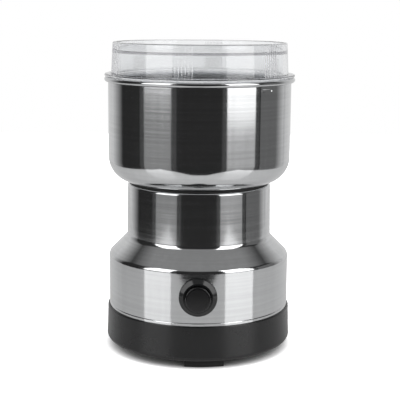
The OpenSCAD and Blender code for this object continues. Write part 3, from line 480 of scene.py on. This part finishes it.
def metal(name, colour, darker, roughness, pattern_mm, relief_mm):
    """A machined or plated metal: pattern_mm is the size of its marks along X, Y and Z."""
    material, tree, shader = new_material(name)
    place = add(tree, "ShaderNodeTexCoord").outputs["Object"]
    marks = add(tree, "ShaderNodeMapping", {"Vector": place, "Scale": pattern_scale(pattern_mm)})
    noise = add(tree, "ShaderNodeTexNoise", {"Vector": marks, "Scale": 1.0, "Detail": 3.0})
    mix = add(tree, "ShaderNodeMix", {"Factor": noise, "A": linear(darker), "B": linear(colour)},
              data_type="RGBA")
    rough = add(tree, "ShaderNodeMapRange", {
        "Value": noise, "From Min": NOISE_LOW, "From Max": NOISE_HIGH,
        "To Min": roughness * (1 - METAL_SPREAD), "To Max": roughness * (1 + METAL_SPREAD)})
    bump = add(tree, "ShaderNodeBump", {"Height": noise, "Strength": 0.4, "Distance": relief_mm * MM})
    feed(tree, shader, {
        "Metallic": 1, "Base Color": mix.outputs["Result"], "Roughness": rough, "Normal": bump})
    return material


steel = stainless_steel()
clear = clear_plastic()
# Satin ABS from a finely grained mould: near black, with soft broad highlights
satin_abs = moulded("satin_abs", "#101011", "#151516", 0.29, 0.35, 0.02)
# Polished ABS from a smooth mould: near black, with small clear highlights
bezel_abs = moulded("polished_abs", "#111213", "#161718", 0.12, 0.5, 0.004)
gloss_abs = button_abs()
# Moulded rubber: dull charcoal that hardly shines
rubber = moulded("black_rubber", "#161616", "#1c1c1b", 0.7, 0.3, 0.04, ior=1.45)
# Nylon moulded with glass fibres: dark grey, with a dull rough skin
dark_nylon = moulded("glass_filled_nylon", "#242426", "#2e2e30", 0.5, 0.4, 0.03)
# Natural moulded nylon: cream, with a waxy sheen
pale_nylon = moulded("natural_nylon", "#dcdacd", "#e6e4d8", 0.45, 0.5, 0.02)
# Carbon pressed from powder: dark grey and matt
carbon = moulded("pressed_carbon", "#2b2b2c", "#353536", 0.6, 0.3, 0.03)
# Steel turned on a lathe: bright, with fine level tool marks
turned_steel = metal("turned_steel", "#c9cacc", "#aeb0b3", 0.28, (6, 6, 0.25), 0.01)
# Ground stainless steel: bright, with fine grinding lines
blade_steel = metal("ground_stainless_steel", "#cfd0d2", "#b5b7b9", 0.25, (0.4, 6, 3), 0.01)
# Zinc-plated steel: bluish grey, slightly mottled
zinc_steel = metal("zinc_plated_steel", "#b9bcc0", "#9a9da1", 0.32, (1.2, 1.2, 1.2), 0.01)
# Drawn spring wire: grey, with a soft shine
spring_steel = metal("spring_wire", "#b3b5b7", "#94969a", 0.3, (1, 1, 1), 0.005)
# Stacked steel laminations: dull grey, with fine level lines
core_steel = metal("laminated_core_steel", "#8a8c8f", "#5f6164", 0.45, (8, 8, 0.5), 0.03)
# Enamelled copper wire wound in layers: warm brown and glossy, with fine level lines
copper = metal("enamelled_copper", "#c07843", "#8a4a22", 0.32, (3, 3, 0.5), 0.05)
# Stamped brass: yellow and smooth, lightly mottled
brass = metal("stamped_brass", "#d2b061", "#b08d42", 0.3, (1.5, 1.5, 1.5), 0.01)
# Sintered bronze: dull yellow-brown, with fine pores
bronze = metal("sintered_bronze", "#b3925a", "#8c6f40", 0.5, (0.4, 0.4, 0.4), 0.03)
# Die-cast aluminium: pale grey, with a dull cast skin
cast_aluminium = metal("cast_aluminium", "#c2c4c6", "#a4a6a8", 0.45, (0.8, 0.8, 0.8), 0.03)

by_slot = {
    "clear_plastic": clear, "polished_steel": steel, "black_plastic": satin_abs, "bezel_plastic": bezel_abs,
    "button_plastic": gloss_abs, "black_rubber": rubber, "dark_nylon": dark_nylon, "pale_nylon": pale_nylon,
    "zinc_steel": zinc_steel, "turned_steel": turned_steel, "blade_steel": blade_steel,
    "spring_steel": spring_steel, "core_steel": core_steel, "copper_wire": copper, "brass": brass,
    "bronze": bronze, "cast_aluminium": cast_aluminium, "carbon": carbon,
}
for subpart in frame["record"]["subparts"]:
    node_mesh = frame["nodes"][subpart["node"]].data
    node_mesh.materials.clear()
    node_mesh.materials.append(by_slot[subpart["material_slot"]])


# Steel body shell, bored for the button

# Turns a shape made round Z so that its +Z points out through the front, at the button's height
BUTTON_PLACE = Matrix.Translation((0, 0, BUTTON_Z * MM)) @ Matrix.Rotation(math.pi / 2, 4, "X")


def facing_front(bm):
    bmesh.ops.transform(bm, matrix=BUTTON_PLACE, verts=bm.verts)
    return bm


def shell_outline():
    """The shell's section; rows at the bezel's edges keep the long faces beside the button's hole flat."""
    lean = math.atan2(NECK_Z - SHOULDER_Z, BODY_R - NECK_R)
    drop = STEEL_T * (1 - math.sin(lean)) / math.cos(lean)
    inner_r = BODY_R - STEEL_T
    return rounded(
        [(inner_r, SHELL_Z0, 0), (BODY_R, SHELL_Z0, 0), (BODY_R, HEM_Z - HEM_HALF_W, 0),
         (BODY_R - HEM_DEPTH, HEM_Z, 0), (BODY_R, HEM_Z + HEM_HALF_W, 0), (BODY_R, BUTTON_Z - BEZEL_R, 0),
         (BODY_R, BUTTON_Z + BEZEL_R, 0), (BODY_R, SHOULDER_Z, SHOULDER_EDGE_R),
         (NECK_R, NECK_Z, SHOULDER_ROOT_R), (NECK_TOP_R, NECK_TOP_Z, NECK_EDGE_R),
         (FLANGE_IN_R, NECK_TOP_Z, 0), (FLANGE_IN_R, NECK_TOP_Z - STEEL_T, 0),
         (NECK_TOP_R - STEEL_T, NECK_TOP_Z - STEEL_T, NECK_EDGE_R - STEEL_T),
         (NECK_R - STEEL_T, NECK_Z - drop, SHOULDER_ROOT_R + STEEL_T),
         (inner_r, SHOULDER_Z - drop, SHOULDER_EDGE_R - STEEL_T),
         (inner_r, BUTTON_Z + BEZEL_R, 0), (inner_r, BUTTON_Z - BEZEL_R, 0)], step=6)


shell_mesh = closed_mesh("steel_body", lathe(shell_outline(), even_angles(SHELL_STEPS)))
bore_back = BODY_R - BORE_REACH
bore_front = BODY_R + BORE_REACH
bore = lathe([(0, bore_back), (SHELL_HOLE_R, bore_back), (SHELL_HOLE_R, bore_front), (0, bore_front)],
             even_angles(BORE_STEPS))
shell_mesh = cut_away(shell_mesh, closed_mesh("bore", facing_front(bore)))
piece("steel_body", shell_mesh, steel, "housing", "polished_steel", "body_shell")


# Bowl with its rolled rim and two pressed dimples

def bowl_outline():
    inner_r = BOWL_R - STEEL_T
    wall = rounded([(BOWL_HOLE_R, BOWL_Z0, 0), (BOWL_R, BOWL_Z0, BOWL_CORNER_R), (BOWL_R, BEAD_Z, 0),
                    (BOWL_HOLE_R, BEAD_Z, 0)], step=5)[:-2]
    inside = rounded([(BOWL_HOLE_R, BOWL_FLOOR_Z, 0), (inner_r, BOWL_FLOOR_Z, BOWL_CORNER_R - STEEL_T),
                      (inner_r, BEAD_Z, 0), (BOWL_HOLE_R, BEAD_Z, 0)], step=5)[:-1]
    dimple_rows = [DIMPLE_Z + DIMPLE_ROW_REACH * DIMPLE_R * (i / DIMPLE_ROWS - 1)
                   for i in range(2 * DIMPLE_ROWS + 1)]
    start = -math.degrees(math.acos((BOWL_R - SEAM_DEPTH - BEAD_PLACE_R) / BEAD_R))
    bead_angles = [math.radians(start + (180 - start) * k / BEAD_STEPS) for k in range(BEAD_STEPS + 1)]
    bead = [(BEAD_PLACE_R + BEAD_R * math.cos(a), BEAD_Z + BEAD_R * math.sin(a)) for a in bead_angles]
    seam_z = bead[0][1] - SEAM_H
    seam = [(BOWL_R, seam_z - SEAM_H), (BOWL_R - SEAM_DEPTH, seam_z)]
    return (wall + [(BOWL_R, z) for z in dimple_rows] + seam + bead
            + inside[-1:] + [(inner_r, z) for z in reversed(dimple_rows)] + inside[-2::-1])


def press_dimples(bm):
    """Pushes the wall in along a short level line at two opposite places."""
    near_wall = BOWL_R - 5
    for side in DIMPLE_SIDES:
        angle = math.radians(DIMPLE_TURN - 90 + side)
        out = Vector((math.cos(angle), math.sin(angle), 0))
        along = Vector((-out.y, out.x, 0))
        for vert in bm.verts:
            place = vert.co / MM
            if place.dot(out) < near_wall:
                continue
            off = max(abs(place.dot(along)) - DIMPLE_HALF, 0)
            distance = math.hypot(off, place.z - DIMPLE_Z) / DIMPLE_R
            if distance < 1:
                vert.co -= out * DIMPLE_DEPTH * MM * (1 - distance ** 2) ** 2


def bowl_angles():
    """Even angles round the bowl, with finer ones across each dimple, from the front."""
    places = [DIMPLE_TURN + side for side in DIMPLE_SIDES]
    fine = [place + DIMPLE_REACH_ANGLE * k / DIMPLE_STEPS
            for place in places for k in range(-DIMPLE_STEPS, DIMPLE_STEPS + 1)]
    clear_of_dimples = DIMPLE_REACH_ANGLE + 0.5
    plain = [a for a in range(0, 360, PLAIN_STEP_ANGLE)
             if all(abs((a - place + 180) % 360 - 180) > clear_of_dimples for place in places)]
    return [math.radians(a - 90) for a in sorted(fine + plain)]


bowl_shape = lathe(bowl_outline(), bowl_angles())
press_dimples(bowl_shape)
piece("bowl_steel", closed_mesh("bowl_steel", bowl_shape), steel, "housing", "polished_steel", "bowl")


# Lid: turned body, grip ribs grown on its wall, and the slots in its skirt

def ribbed_lid():
    """Geometry Nodes: leaning ribs in even groups round the lid, joined to it, less the slots' shape."""
    tree, given = new_tree("ribbed_lid", {
        "Slots": "Object", "Groups": "Int", "Ribs per Group": "Int", "First Angle": "Float",
        "Rib Step": "Float", "Rib Radius": "Float", "Foot": "Vector", "Top": "Vector"})
    per_group = given["Ribs per Group"]
    count = add(tree, MATH, {0: given["Groups"], 1: per_group}, operation="MULTIPLY")
    index = add(tree, "GeometryNodeInputIndex")
    group_share = add(tree, MATH, {0: index, 1: per_group}, operation="DIVIDE")
    group = add(tree, MATH, {0: group_share}, operation="FLOOR")
    place = add(tree, MATH, {0: index, 1: per_group}, operation="MODULO")
    last_place = add(tree, MATH, {0: per_group, 1: 1.0}, operation="SUBTRACT")
    middle = add(tree, MATH, {0: last_place, 1: 0.5}, operation="MULTIPLY")
    whole_turns = add(tree, MATH, {0: group, 1: 2 * math.pi}, operation="MULTIPLY")
    group_angle = add(tree, MATH, {0: whole_turns, 1: given["Groups"]}, operation="DIVIDE")
    from_middle = add(tree, MATH, {0: place, 1: middle}, operation="SUBTRACT")
    rib_angle = add(tree, MATH, {0: from_middle, 1: given["Rib Step"]}, operation="MULTIPLY")
    both_angles = add(tree, MATH, {0: group_angle, 1: rib_angle}, operation="ADD")
    angle = add(tree, MATH, {0: both_angles, 1: given["First Angle"]}, operation="ADD")
    turn = add(tree, "ShaderNodeCombineXYZ", {"Z": angle})
    line = add(tree, "GeometryNodeCurvePrimitiveLine", {"Start": given["Foot"], "End": given["Top"]})
    section = add(tree, "GeometryNodeCurvePrimitiveCircle", {"Resolution": 14,
                                                             "Radius": given["Rib Radius"]})
    rib = add(tree, "GeometryNodeCurveToMesh", {"Curve": line, "Profile Curve": section, "Fill Caps": True})
    points = add(tree, "GeometryNodePoints", {"Count": count})
    ribs = add(tree, "GeometryNodeInstanceOnPoints", {"Points": points, "Instance": rib, "Rotation": turn})
    real_ribs = add(tree, "GeometryNodeRealizeInstances", {"Geometry": ribs})
    joined = add(tree, "GeometryNodeMeshBoolean", {"Mesh 2": [given["Geometry"], real_ribs]},
                 operation="UNION", solver="EXACT")
    slots = add(tree, "GeometryNodeObjectInfo", {"Object": given["Slots"]})
    slotted = add(tree, "GeometryNodeMeshBoolean", {"Mesh 1": joined, "Mesh 2": slots.outputs["Geometry"]},
                  operation="DIFFERENCE", solver="EXACT")
    return end_tree(tree, slotted, clear)


def slot_shapes():
    """The two L-shaped openings that cut the lid's skirt: an upright entry with a locking branch."""
    low = LID_SKIRT_Z0 - SLOT_BELOW
    shelf = LID_SKIRT_Z0 + SLOT_LIP
    end = SLOT_HALF_ANGLE + SLOT_LOCK_ANGLE
    outline = [(-SLOT_HALF_ANGLE, low), (SLOT_HALF_ANGLE, low), (SLOT_HALF_ANGLE, shelf), (end, shelf),
               (end, SLOT_Z1), (SLOT_HALF_ANGLE, SLOT_Z1), (-SLOT_HALF_ANGLE, SLOT_Z1)]
    bm = bmesh.new()
    for side in DIMPLE_SIDES:
        rings = []
        for radius in (LID_SKIRT_R - SLOT_INWARDS, LID_SKIRT_R + SLOT_OUTWARDS):
            ring = []
            for offset, height in outline:
                angle = math.radians(DIMPLE_TURN - 90 + side + offset)
                ring.append(bm.verts.new(round_axis(radius, angle, height)))
            bm.faces.new([ring[0], ring[1], ring[2], ring[5], ring[6]])
            bm.faces.new([ring[2], ring[3], ring[4], ring[5]])
            rings.append(ring)
        inner, outer = rings
        for k in range(len(outline)):
            n = (k + 1) % len(outline)
            bm.faces.new([inner[k], inner[n], outer[n], outer[k]])
    return in_scene("slot_shapes", closed_mesh("slot_shapes", bm))


lid_rim_in_r = LID_RIM_R - LID_WALL_T
lid_outline = rounded(
    [(LID_SKIRT_R - LID_WALL_T, LID_SKIRT_Z0, 0.4), (LID_SKIRT_R, LID_SKIRT_Z0, 0.6),
     (LID_SKIRT_R, LID_SEAT_Z, 0.5), (LID_FLANGE_R, LID_SEAT_Z, 0.5), (LID_FLANGE_R, LID_FLANGE_Z, 0.6),
     (LID_WALL_R, LID_FLANGE_Z, 0.3), (LID_RIM_R, LID_TOP_Z, 0.7), (lid_rim_in_r, LID_TOP_Z, 0.5),
     (lid_rim_in_r, LID_PLATE_Z1, 0.3), (0, LID_PLATE_Z1, 0), (0, LID_PLATE_Z0, 0),
     (lid_rim_in_r, LID_PLATE_Z0, 0.4)], step=15)
slot_tool = slot_shapes()
lid_lean = (LID_WALL_R - LID_RIM_R) / (LID_TOP_Z - LID_FLANGE_Z)
rib_foot_r = LID_WALL_R - RIB_SINK
rib_top_r = rib_foot_r - lid_lean * (RIB_TOP_Z - LID_FLANGE_Z)
plain_lid = closed_mesh("clear_lid", lathe(lid_outline, even_angles(LID_STEPS)))
lid_mesh = grown(ribbed_lid(), plain_lid, {
    "Slots": slot_tool, "Groups": RIB_GROUPS, "Ribs per Group": RIBS_PER_GROUP,
    "First Angle": math.radians(RIB_TURN - 90), "Rib Step": RIB_PITCH / LID_WALL_R,
    "Rib Radius": RIB_R * MM, "Foot": (rib_foot_r * MM, 0, (LID_FLANGE_Z - RIB_ROOT) * MM),
    "Top": (rib_top_r * MM, 0, RIB_TOP_Z * MM)})
bpy.data.objects.remove(slot_tool)
piece("clear_lid", lid_mesh, clear, "lid", "clear_plastic", "lid")


# Button cap: its face slightly crowned
crown_rows = [(CAP_R * k / CROWN_STEPS, CAP_FRONT - CAP_CROWN * (k / CROWN_STEPS) ** 2, 0)
              for k in range(CROWN_STEPS - 1)]
cap_outline = rounded(
    [(0, CAP_FRONT - CAP_T, 0), (CAP_R - CAP_T, CAP_FRONT - CAP_T, CAP_INNER_R),
     (CAP_R - CAP_T, CAP_BACK, 0), (CAP_FLANGE_R, CAP_BACK, 0), (CAP_FLANGE_R, CAP_FLANGE_FRONT, 0),
     (CAP_R, CAP_FLANGE_FRONT, 0), (CAP_R, CAP_FRONT - CAP_CROWN, CAP_EDGE_R), *reversed(crown_rows)])
cap_mesh = closed_mesh("cap_button", facing_front(lathe(cap_outline, even_angles(CAP_STEPS))))
piece("cap_button", cap_mesh, gloss_abs, "button", "button_plastic", "button_cap")


# Button spring

def coil_spring():
    """Geometry Nodes: a round wire wound evenly round Z."""
    tree, given = new_tree("coil_spring", {
        "Turns": "Float", "Coil Radius": "Float", "Rise": "Float", "Wire Radius": "Float"})
    path = add(tree, "GeometryNodeCurveSpiral", {
        "Resolution": 36, "Rotations": given["Turns"], "Start Radius": given["Coil Radius"],
        "End Radius": given["Coil Radius"], "Height": given["Rise"]})
    section = add(tree, "GeometryNodeCurvePrimitiveCircle", {"Resolution": 12,
                                                             "Radius": given["Wire Radius"]})
    wire = add(tree, "GeometryNodeCurveToMesh", {"Curve": path, "Profile Curve": section,
                                                 "Fill Caps": True})
    return end_tree(tree, wire, spring_steel)


spring_length = CAP_FRONT - CAP_T - SPRING_BACK
spring_foot = SPRING_WIRE_R + SPRING_PLAY
spring_mesh = grown(coil_spring(), bpy.data.meshes.new("coil_spring"), {
    "Turns": SPRING_TURNS, "Coil Radius": SPRING_R * MM, "Rise": (spring_length - 2 * spring_foot) * MM,
    "Wire Radius": SPRING_WIRE_R * MM})
spring_mesh.transform(BUTTON_PLACE @ Matrix.Translation((0, 0, (SPRING_BACK + spring_foot) * MM)))
button_spring = piece("wound_spring", spring_mesh, spring_steel, "housing", "spring_steel", "button_spring")
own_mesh(button_spring)


# Base screws with cross recesses, seen from below in the posts' bores

def cross_screws():
    """Geometry Nodes: a screw with a cross cut in its head, set at even steps round the axis."""
    tree, given = new_tree("cross_screws", {
        "Count": "Int", "Place Radius": "Float", "First Angle": "Float", "Recess Size": "Vector",
        "Recess Height": "Float"})
    arm = add(tree, "GeometryNodeMeshCube", {"Size": given["Recess Size"]})
    across = add(tree, "GeometryNodeTransform", {"Geometry": arm, "Rotation": (0, 0, math.pi / 2)})
    cross = add(tree, "GeometryNodeMeshBoolean", {"Mesh 2": [arm, across]},
                operation="UNION", solver="EXACT")
    height = add(tree, "ShaderNodeCombineXYZ", {"Z": given["Recess Height"]})
    low_cross = add(tree, "GeometryNodeTransform", {"Geometry": cross, "Translation": height})
    screw = add(tree, "GeometryNodeMeshBoolean", {"Mesh 1": given["Geometry"], "Mesh 2": low_cross},
                operation="DIFFERENCE", solver="EXACT")
    outwards = add(tree, "ShaderNodeCombineXYZ", {"X": given["Place Radius"]})
    placed = add(tree, "GeometryNodeTransform", {"Geometry": screw, "Translation": outwards})
    index = add(tree, "GeometryNodeInputIndex")
    whole_turns = add(tree, MATH, {0: index, 1: 2 * math.pi}, operation="MULTIPLY")
    step = add(tree, MATH, {0: whole_turns, 1: given["Count"]}, operation="DIVIDE")
    angle = add(tree, MATH, {0: step, 1: given["First Angle"]}, operation="ADD")
    turn = add(tree, "ShaderNodeCombineXYZ", {"Z": angle})
    points = add(tree, "GeometryNodePoints", {"Count": given["Count"]})
    screws = add(tree, "GeometryNodeInstanceOnPoints", {"Points": points, "Instance": placed,
                                                        "Rotation": turn})
    return end_tree(tree, screws, zinc_steel)


screw_outline = rounded(
    [(0, SCREW_HEAD_Z0, 0), (SCREW_HEAD_R, SCREW_HEAD_Z0, SCREW_EDGE_R), (SCREW_HEAD_R, SCREW_HEAD_Z1, 0),
     (SCREW_R, SCREW_HEAD_Z1, 0), (SCREW_R, SCREW_TOP_Z, SCREW_TIP_R), (0, SCREW_TOP_Z, 0)])
one_screw = closed_mesh("cross_screws", lathe(screw_outline, even_angles(SCREW_STEPS)))
screw_mesh = grown(cross_screws(), one_screw, {
    "Count": SCREW_COUNT, "Place Radius": SCREW_PLACE_R * MM, "First Angle": math.pi / 2,
    "Recess Size": (RECESS_LENGTH * MM, RECESS_W * MM, 2 * RECESS_DEPTH * MM),
    "Recess Height": SCREW_HEAD_Z0 * MM})
piece("cross_screws", screw_mesh, zinc_steel, "housing", "zinc_steel", "base_screws")


# Blades with softened edges

def softened(name, node):
    """A copy of a node's mesh with its faces joined and its edges rounded off."""
    merge_gap = 0.002 * MM
    flat_angle = math.radians(1)
    corner_angle = math.radians(20)
    bm = bmesh.new()
    bm.from_mesh(frame["nodes"][node].data)
    bmesh.ops.remove_doubles(bm, verts=bm.verts, dist=merge_gap)
    bmesh.ops.dissolve_limit(bm, angle_limit=flat_angle, verts=bm.verts, edges=bm.edges)
    corners = [e for e in bm.edges if len(e.link_faces) == 2 and e.calc_face_angle() > corner_angle]
    bmesh.ops.bevel(bm, geom=corners, offset=BLADE_EDGE * MM, segments=2, profile=0.5, affect="EDGES",
                    clamp_overlap=True)
    return closed_mesh(name, bm)


for blade_name, blade_node in (("lower_blade", "blade_lower"), ("upper_blade", "blade_upper")):
    piece(blade_name, softened(blade_name, blade_node), blade_steel, "rotor", "blade_steel", blade_node)


# Studio: a small white table with a front edge, two upright soft boxes with dim panels below them and a
# faint glow round them, a dim panel on the right and a pale backdrop

# How much the camera overexposes the table, how far the painted shade at the foot reaches, in metres, its
# darkest tone, and the even light on matt surfaces
TABLE_LIFT = 3.0
SHADE_REACH = 0.018
SHADE_TONE = 0.3
FILL_LIGHT = 0.62
# What glossy surfaces see in front, behind and overhead, and what light sees that has been inside the lid
FRONT_TONE = 0.03
BACKDROP_TONE = 0.75
CEILING_TONE = 0.32
LID_INSIDE_TONE = 0.55
# The right half of the table's outline from above, in metres
TABLE_HALF = [(0.03, -0.185), (0.085, -0.23), (0.16, -0.275), (0.31, -0.3), (0.31, 1.0)]
# Where the lamps stand: turn from the camera's side towards +X in degrees, widths and heights in metres
LEFT_TURN = -52
RIGHT_TURN = 52.3
LEFT_W = 0.56
RIGHT_W = 0.59
HALO_W = 0.8
BOX_TOP = 1.2
BOX_FOOT = 0.095
EDGE_FOOT = 0.04
PANEL_FOOT = -0.045
UNDER_FOOT = -0.3


def table_material():
    """White lacquered table: overexposed and matt to the camera, glossy where the steel shows it. To the
    camera its colour is darkened near the grinder by ambient occlusion, a painted contact shadow.
    """
    material, tree, shader = new_material("white_table")
    path = add(tree, "ShaderNodeLightPath").outputs
    feed(tree, shader, {"Base Color": linear("#e6e6e6"), "Specular IOR Level": 0.68, "Roughness": 0.12})
    # Painted shade: ambient occlusion darkens the table's colour near the grinder, down to its darkest tone
    shade = add(tree, "ShaderNodeAmbientOcclusion", {"Distance": SHADE_REACH})
    tone = add(tree, "ShaderNodeMapRange", {"Value": shade.outputs["AO"], "To Min": SHADE_TONE,
                                            "To Max": TABLE_LIFT})
    matt = add(tree, "ShaderNodeBsdfDiffuse", {"Color": tone})
    mix = add(tree, "ShaderNodeMixShader", {0: path["Is Camera Ray"], 1: shader, 2: matt})
    feed(tree, tree.nodes["Material Output"], {"Surface": mix})
    return material


def table():
    corners = TABLE_HALF + [(-x, y) for x, y in reversed(TABLE_HALF)]
    mesh = bpy.data.meshes.new("table")
    mesh.from_pydata([(x, y, 0) for x, y in corners], [], [range(len(corners))])
    mesh.materials.append(table_material())
    in_scene("table", mesh)


def soft_box(name, turn_degrees, distance, low, high, width, radiance):
    """An upright area lamp that faces the axis."""
    lamp = bpy.data.lights.new(name, "AREA")
    lamp.shape = "RECTANGLE"
    lamp.size = width
    lamp.size_y = high - low
    lamp.energy = radiance * math.pi * lamp.size * lamp.size_y
    holder = in_scene(name, lamp)
    turn = math.radians(turn_degrees)
    place = Vector((math.sin(turn) * distance, -math.cos(turn) * distance, (low + high) / 2))
    holder.matrix_world = (Matrix.Translation(place) @ Matrix.Rotation(turn, 4, "Z")
                           @ Matrix.Rotation(math.pi / 2, 4, "X"))
    holder.visible_camera = False
    holder.visible_transmission = False


def studio_world():
    """White to the camera and through the lid, an even light for matt surfaces, and for glossy ones a room
    that is dark in front, grey overhead and pale behind."""
    world = bpy.data.worlds.new("studio")
    bpy.context.scene.world = world
    world.use_nodes = True
    tree = world.node_tree
    direction = add(tree, "ShaderNodeTexCoord").outputs["Generated"]
    parts = add(tree, "ShaderNodeSeparateXYZ", {0: direction}).outputs
    behind = add(tree, "ShaderNodeMapRange", {"Value": parts["Y"], "From Min": 0.35, "From Max": 0.74,
                                              "To Min": FRONT_TONE, "To Max": BACKDROP_TONE})
    above = add(tree, "ShaderNodeMapRange", {"Value": parts["Z"], "From Min": 0.6, "From Max": 0.8,
                                             "To Min": FRONT_TONE, "To Max": CEILING_TONE})
    room = add(tree, MATH, {0: behind, 1: above}, operation="MAXIMUM")
    path = add(tree, "ShaderNodeLightPath").outputs
    passed = add(tree, MATH, {0: path["Transmission Depth"], 1: 0.5}, operation="GREATER_THAN")
    inside = add(tree, MATH, {0: passed, 1: LID_INSIDE_TONE}, operation="MULTIPLY")
    seen = add(tree, MATH, {0: path["Is Camera Ray"], 1: path["Is Transmission Ray"]}, operation="MAXIMUM")
    through = add(tree, MATH, {0: seen, 1: inside}, operation="MAXIMUM")
    tone = add(tree, "ShaderNodeMix", {"Factor": path["Is Glossy Ray"], "A": FILL_LIGHT, "B": room})
    strength = add(tree, "ShaderNodeMix", {"Factor": through, "A": tone, "B": 1.0})
    feed(tree, tree.nodes["Background"], {"Color": (1, 1, 1, 1), "Strength": strength})


table()
# Each lamp's turn, distance from the axis, foot, top and width, and its radiance
soft_box("soft_box_left", LEFT_TURN, 0.85, BOX_FOOT, BOX_TOP, LEFT_W, 2.3)
soft_box("soft_box_right", RIGHT_TURN, 0.85, BOX_FOOT, BOX_TOP, RIGHT_W, 2.6)
soft_box("low_edge_right", RIGHT_TURN, 0.855, EDGE_FOOT, BOX_FOOT, RIGHT_W, 1.5)
soft_box("low_panel_left", LEFT_TURN, 0.86, UNDER_FOOT, BOX_FOOT, LEFT_W, 0.24)
soft_box("low_panel_right", RIGHT_TURN, 0.86, PANEL_FOOT, EDGE_FOOT, RIGHT_W, 0.45)
soft_box("under_panel_right", RIGHT_TURN, 0.865, UNDER_FOOT, PANEL_FOOT, RIGHT_W, 0.34)
soft_box("side_panel_right", 103, 0.9, -0.4, 0.5, 0.8, 0.145)
soft_box("halo_left", LEFT_TURN, 0.87, UNDER_FOOT, BOX_TOP, HALO_W, 0.05)
soft_box("halo_right", RIGHT_TURN, 0.87, UNDER_FOOT, BOX_TOP, HALO_W, 0.05)
studio_world()
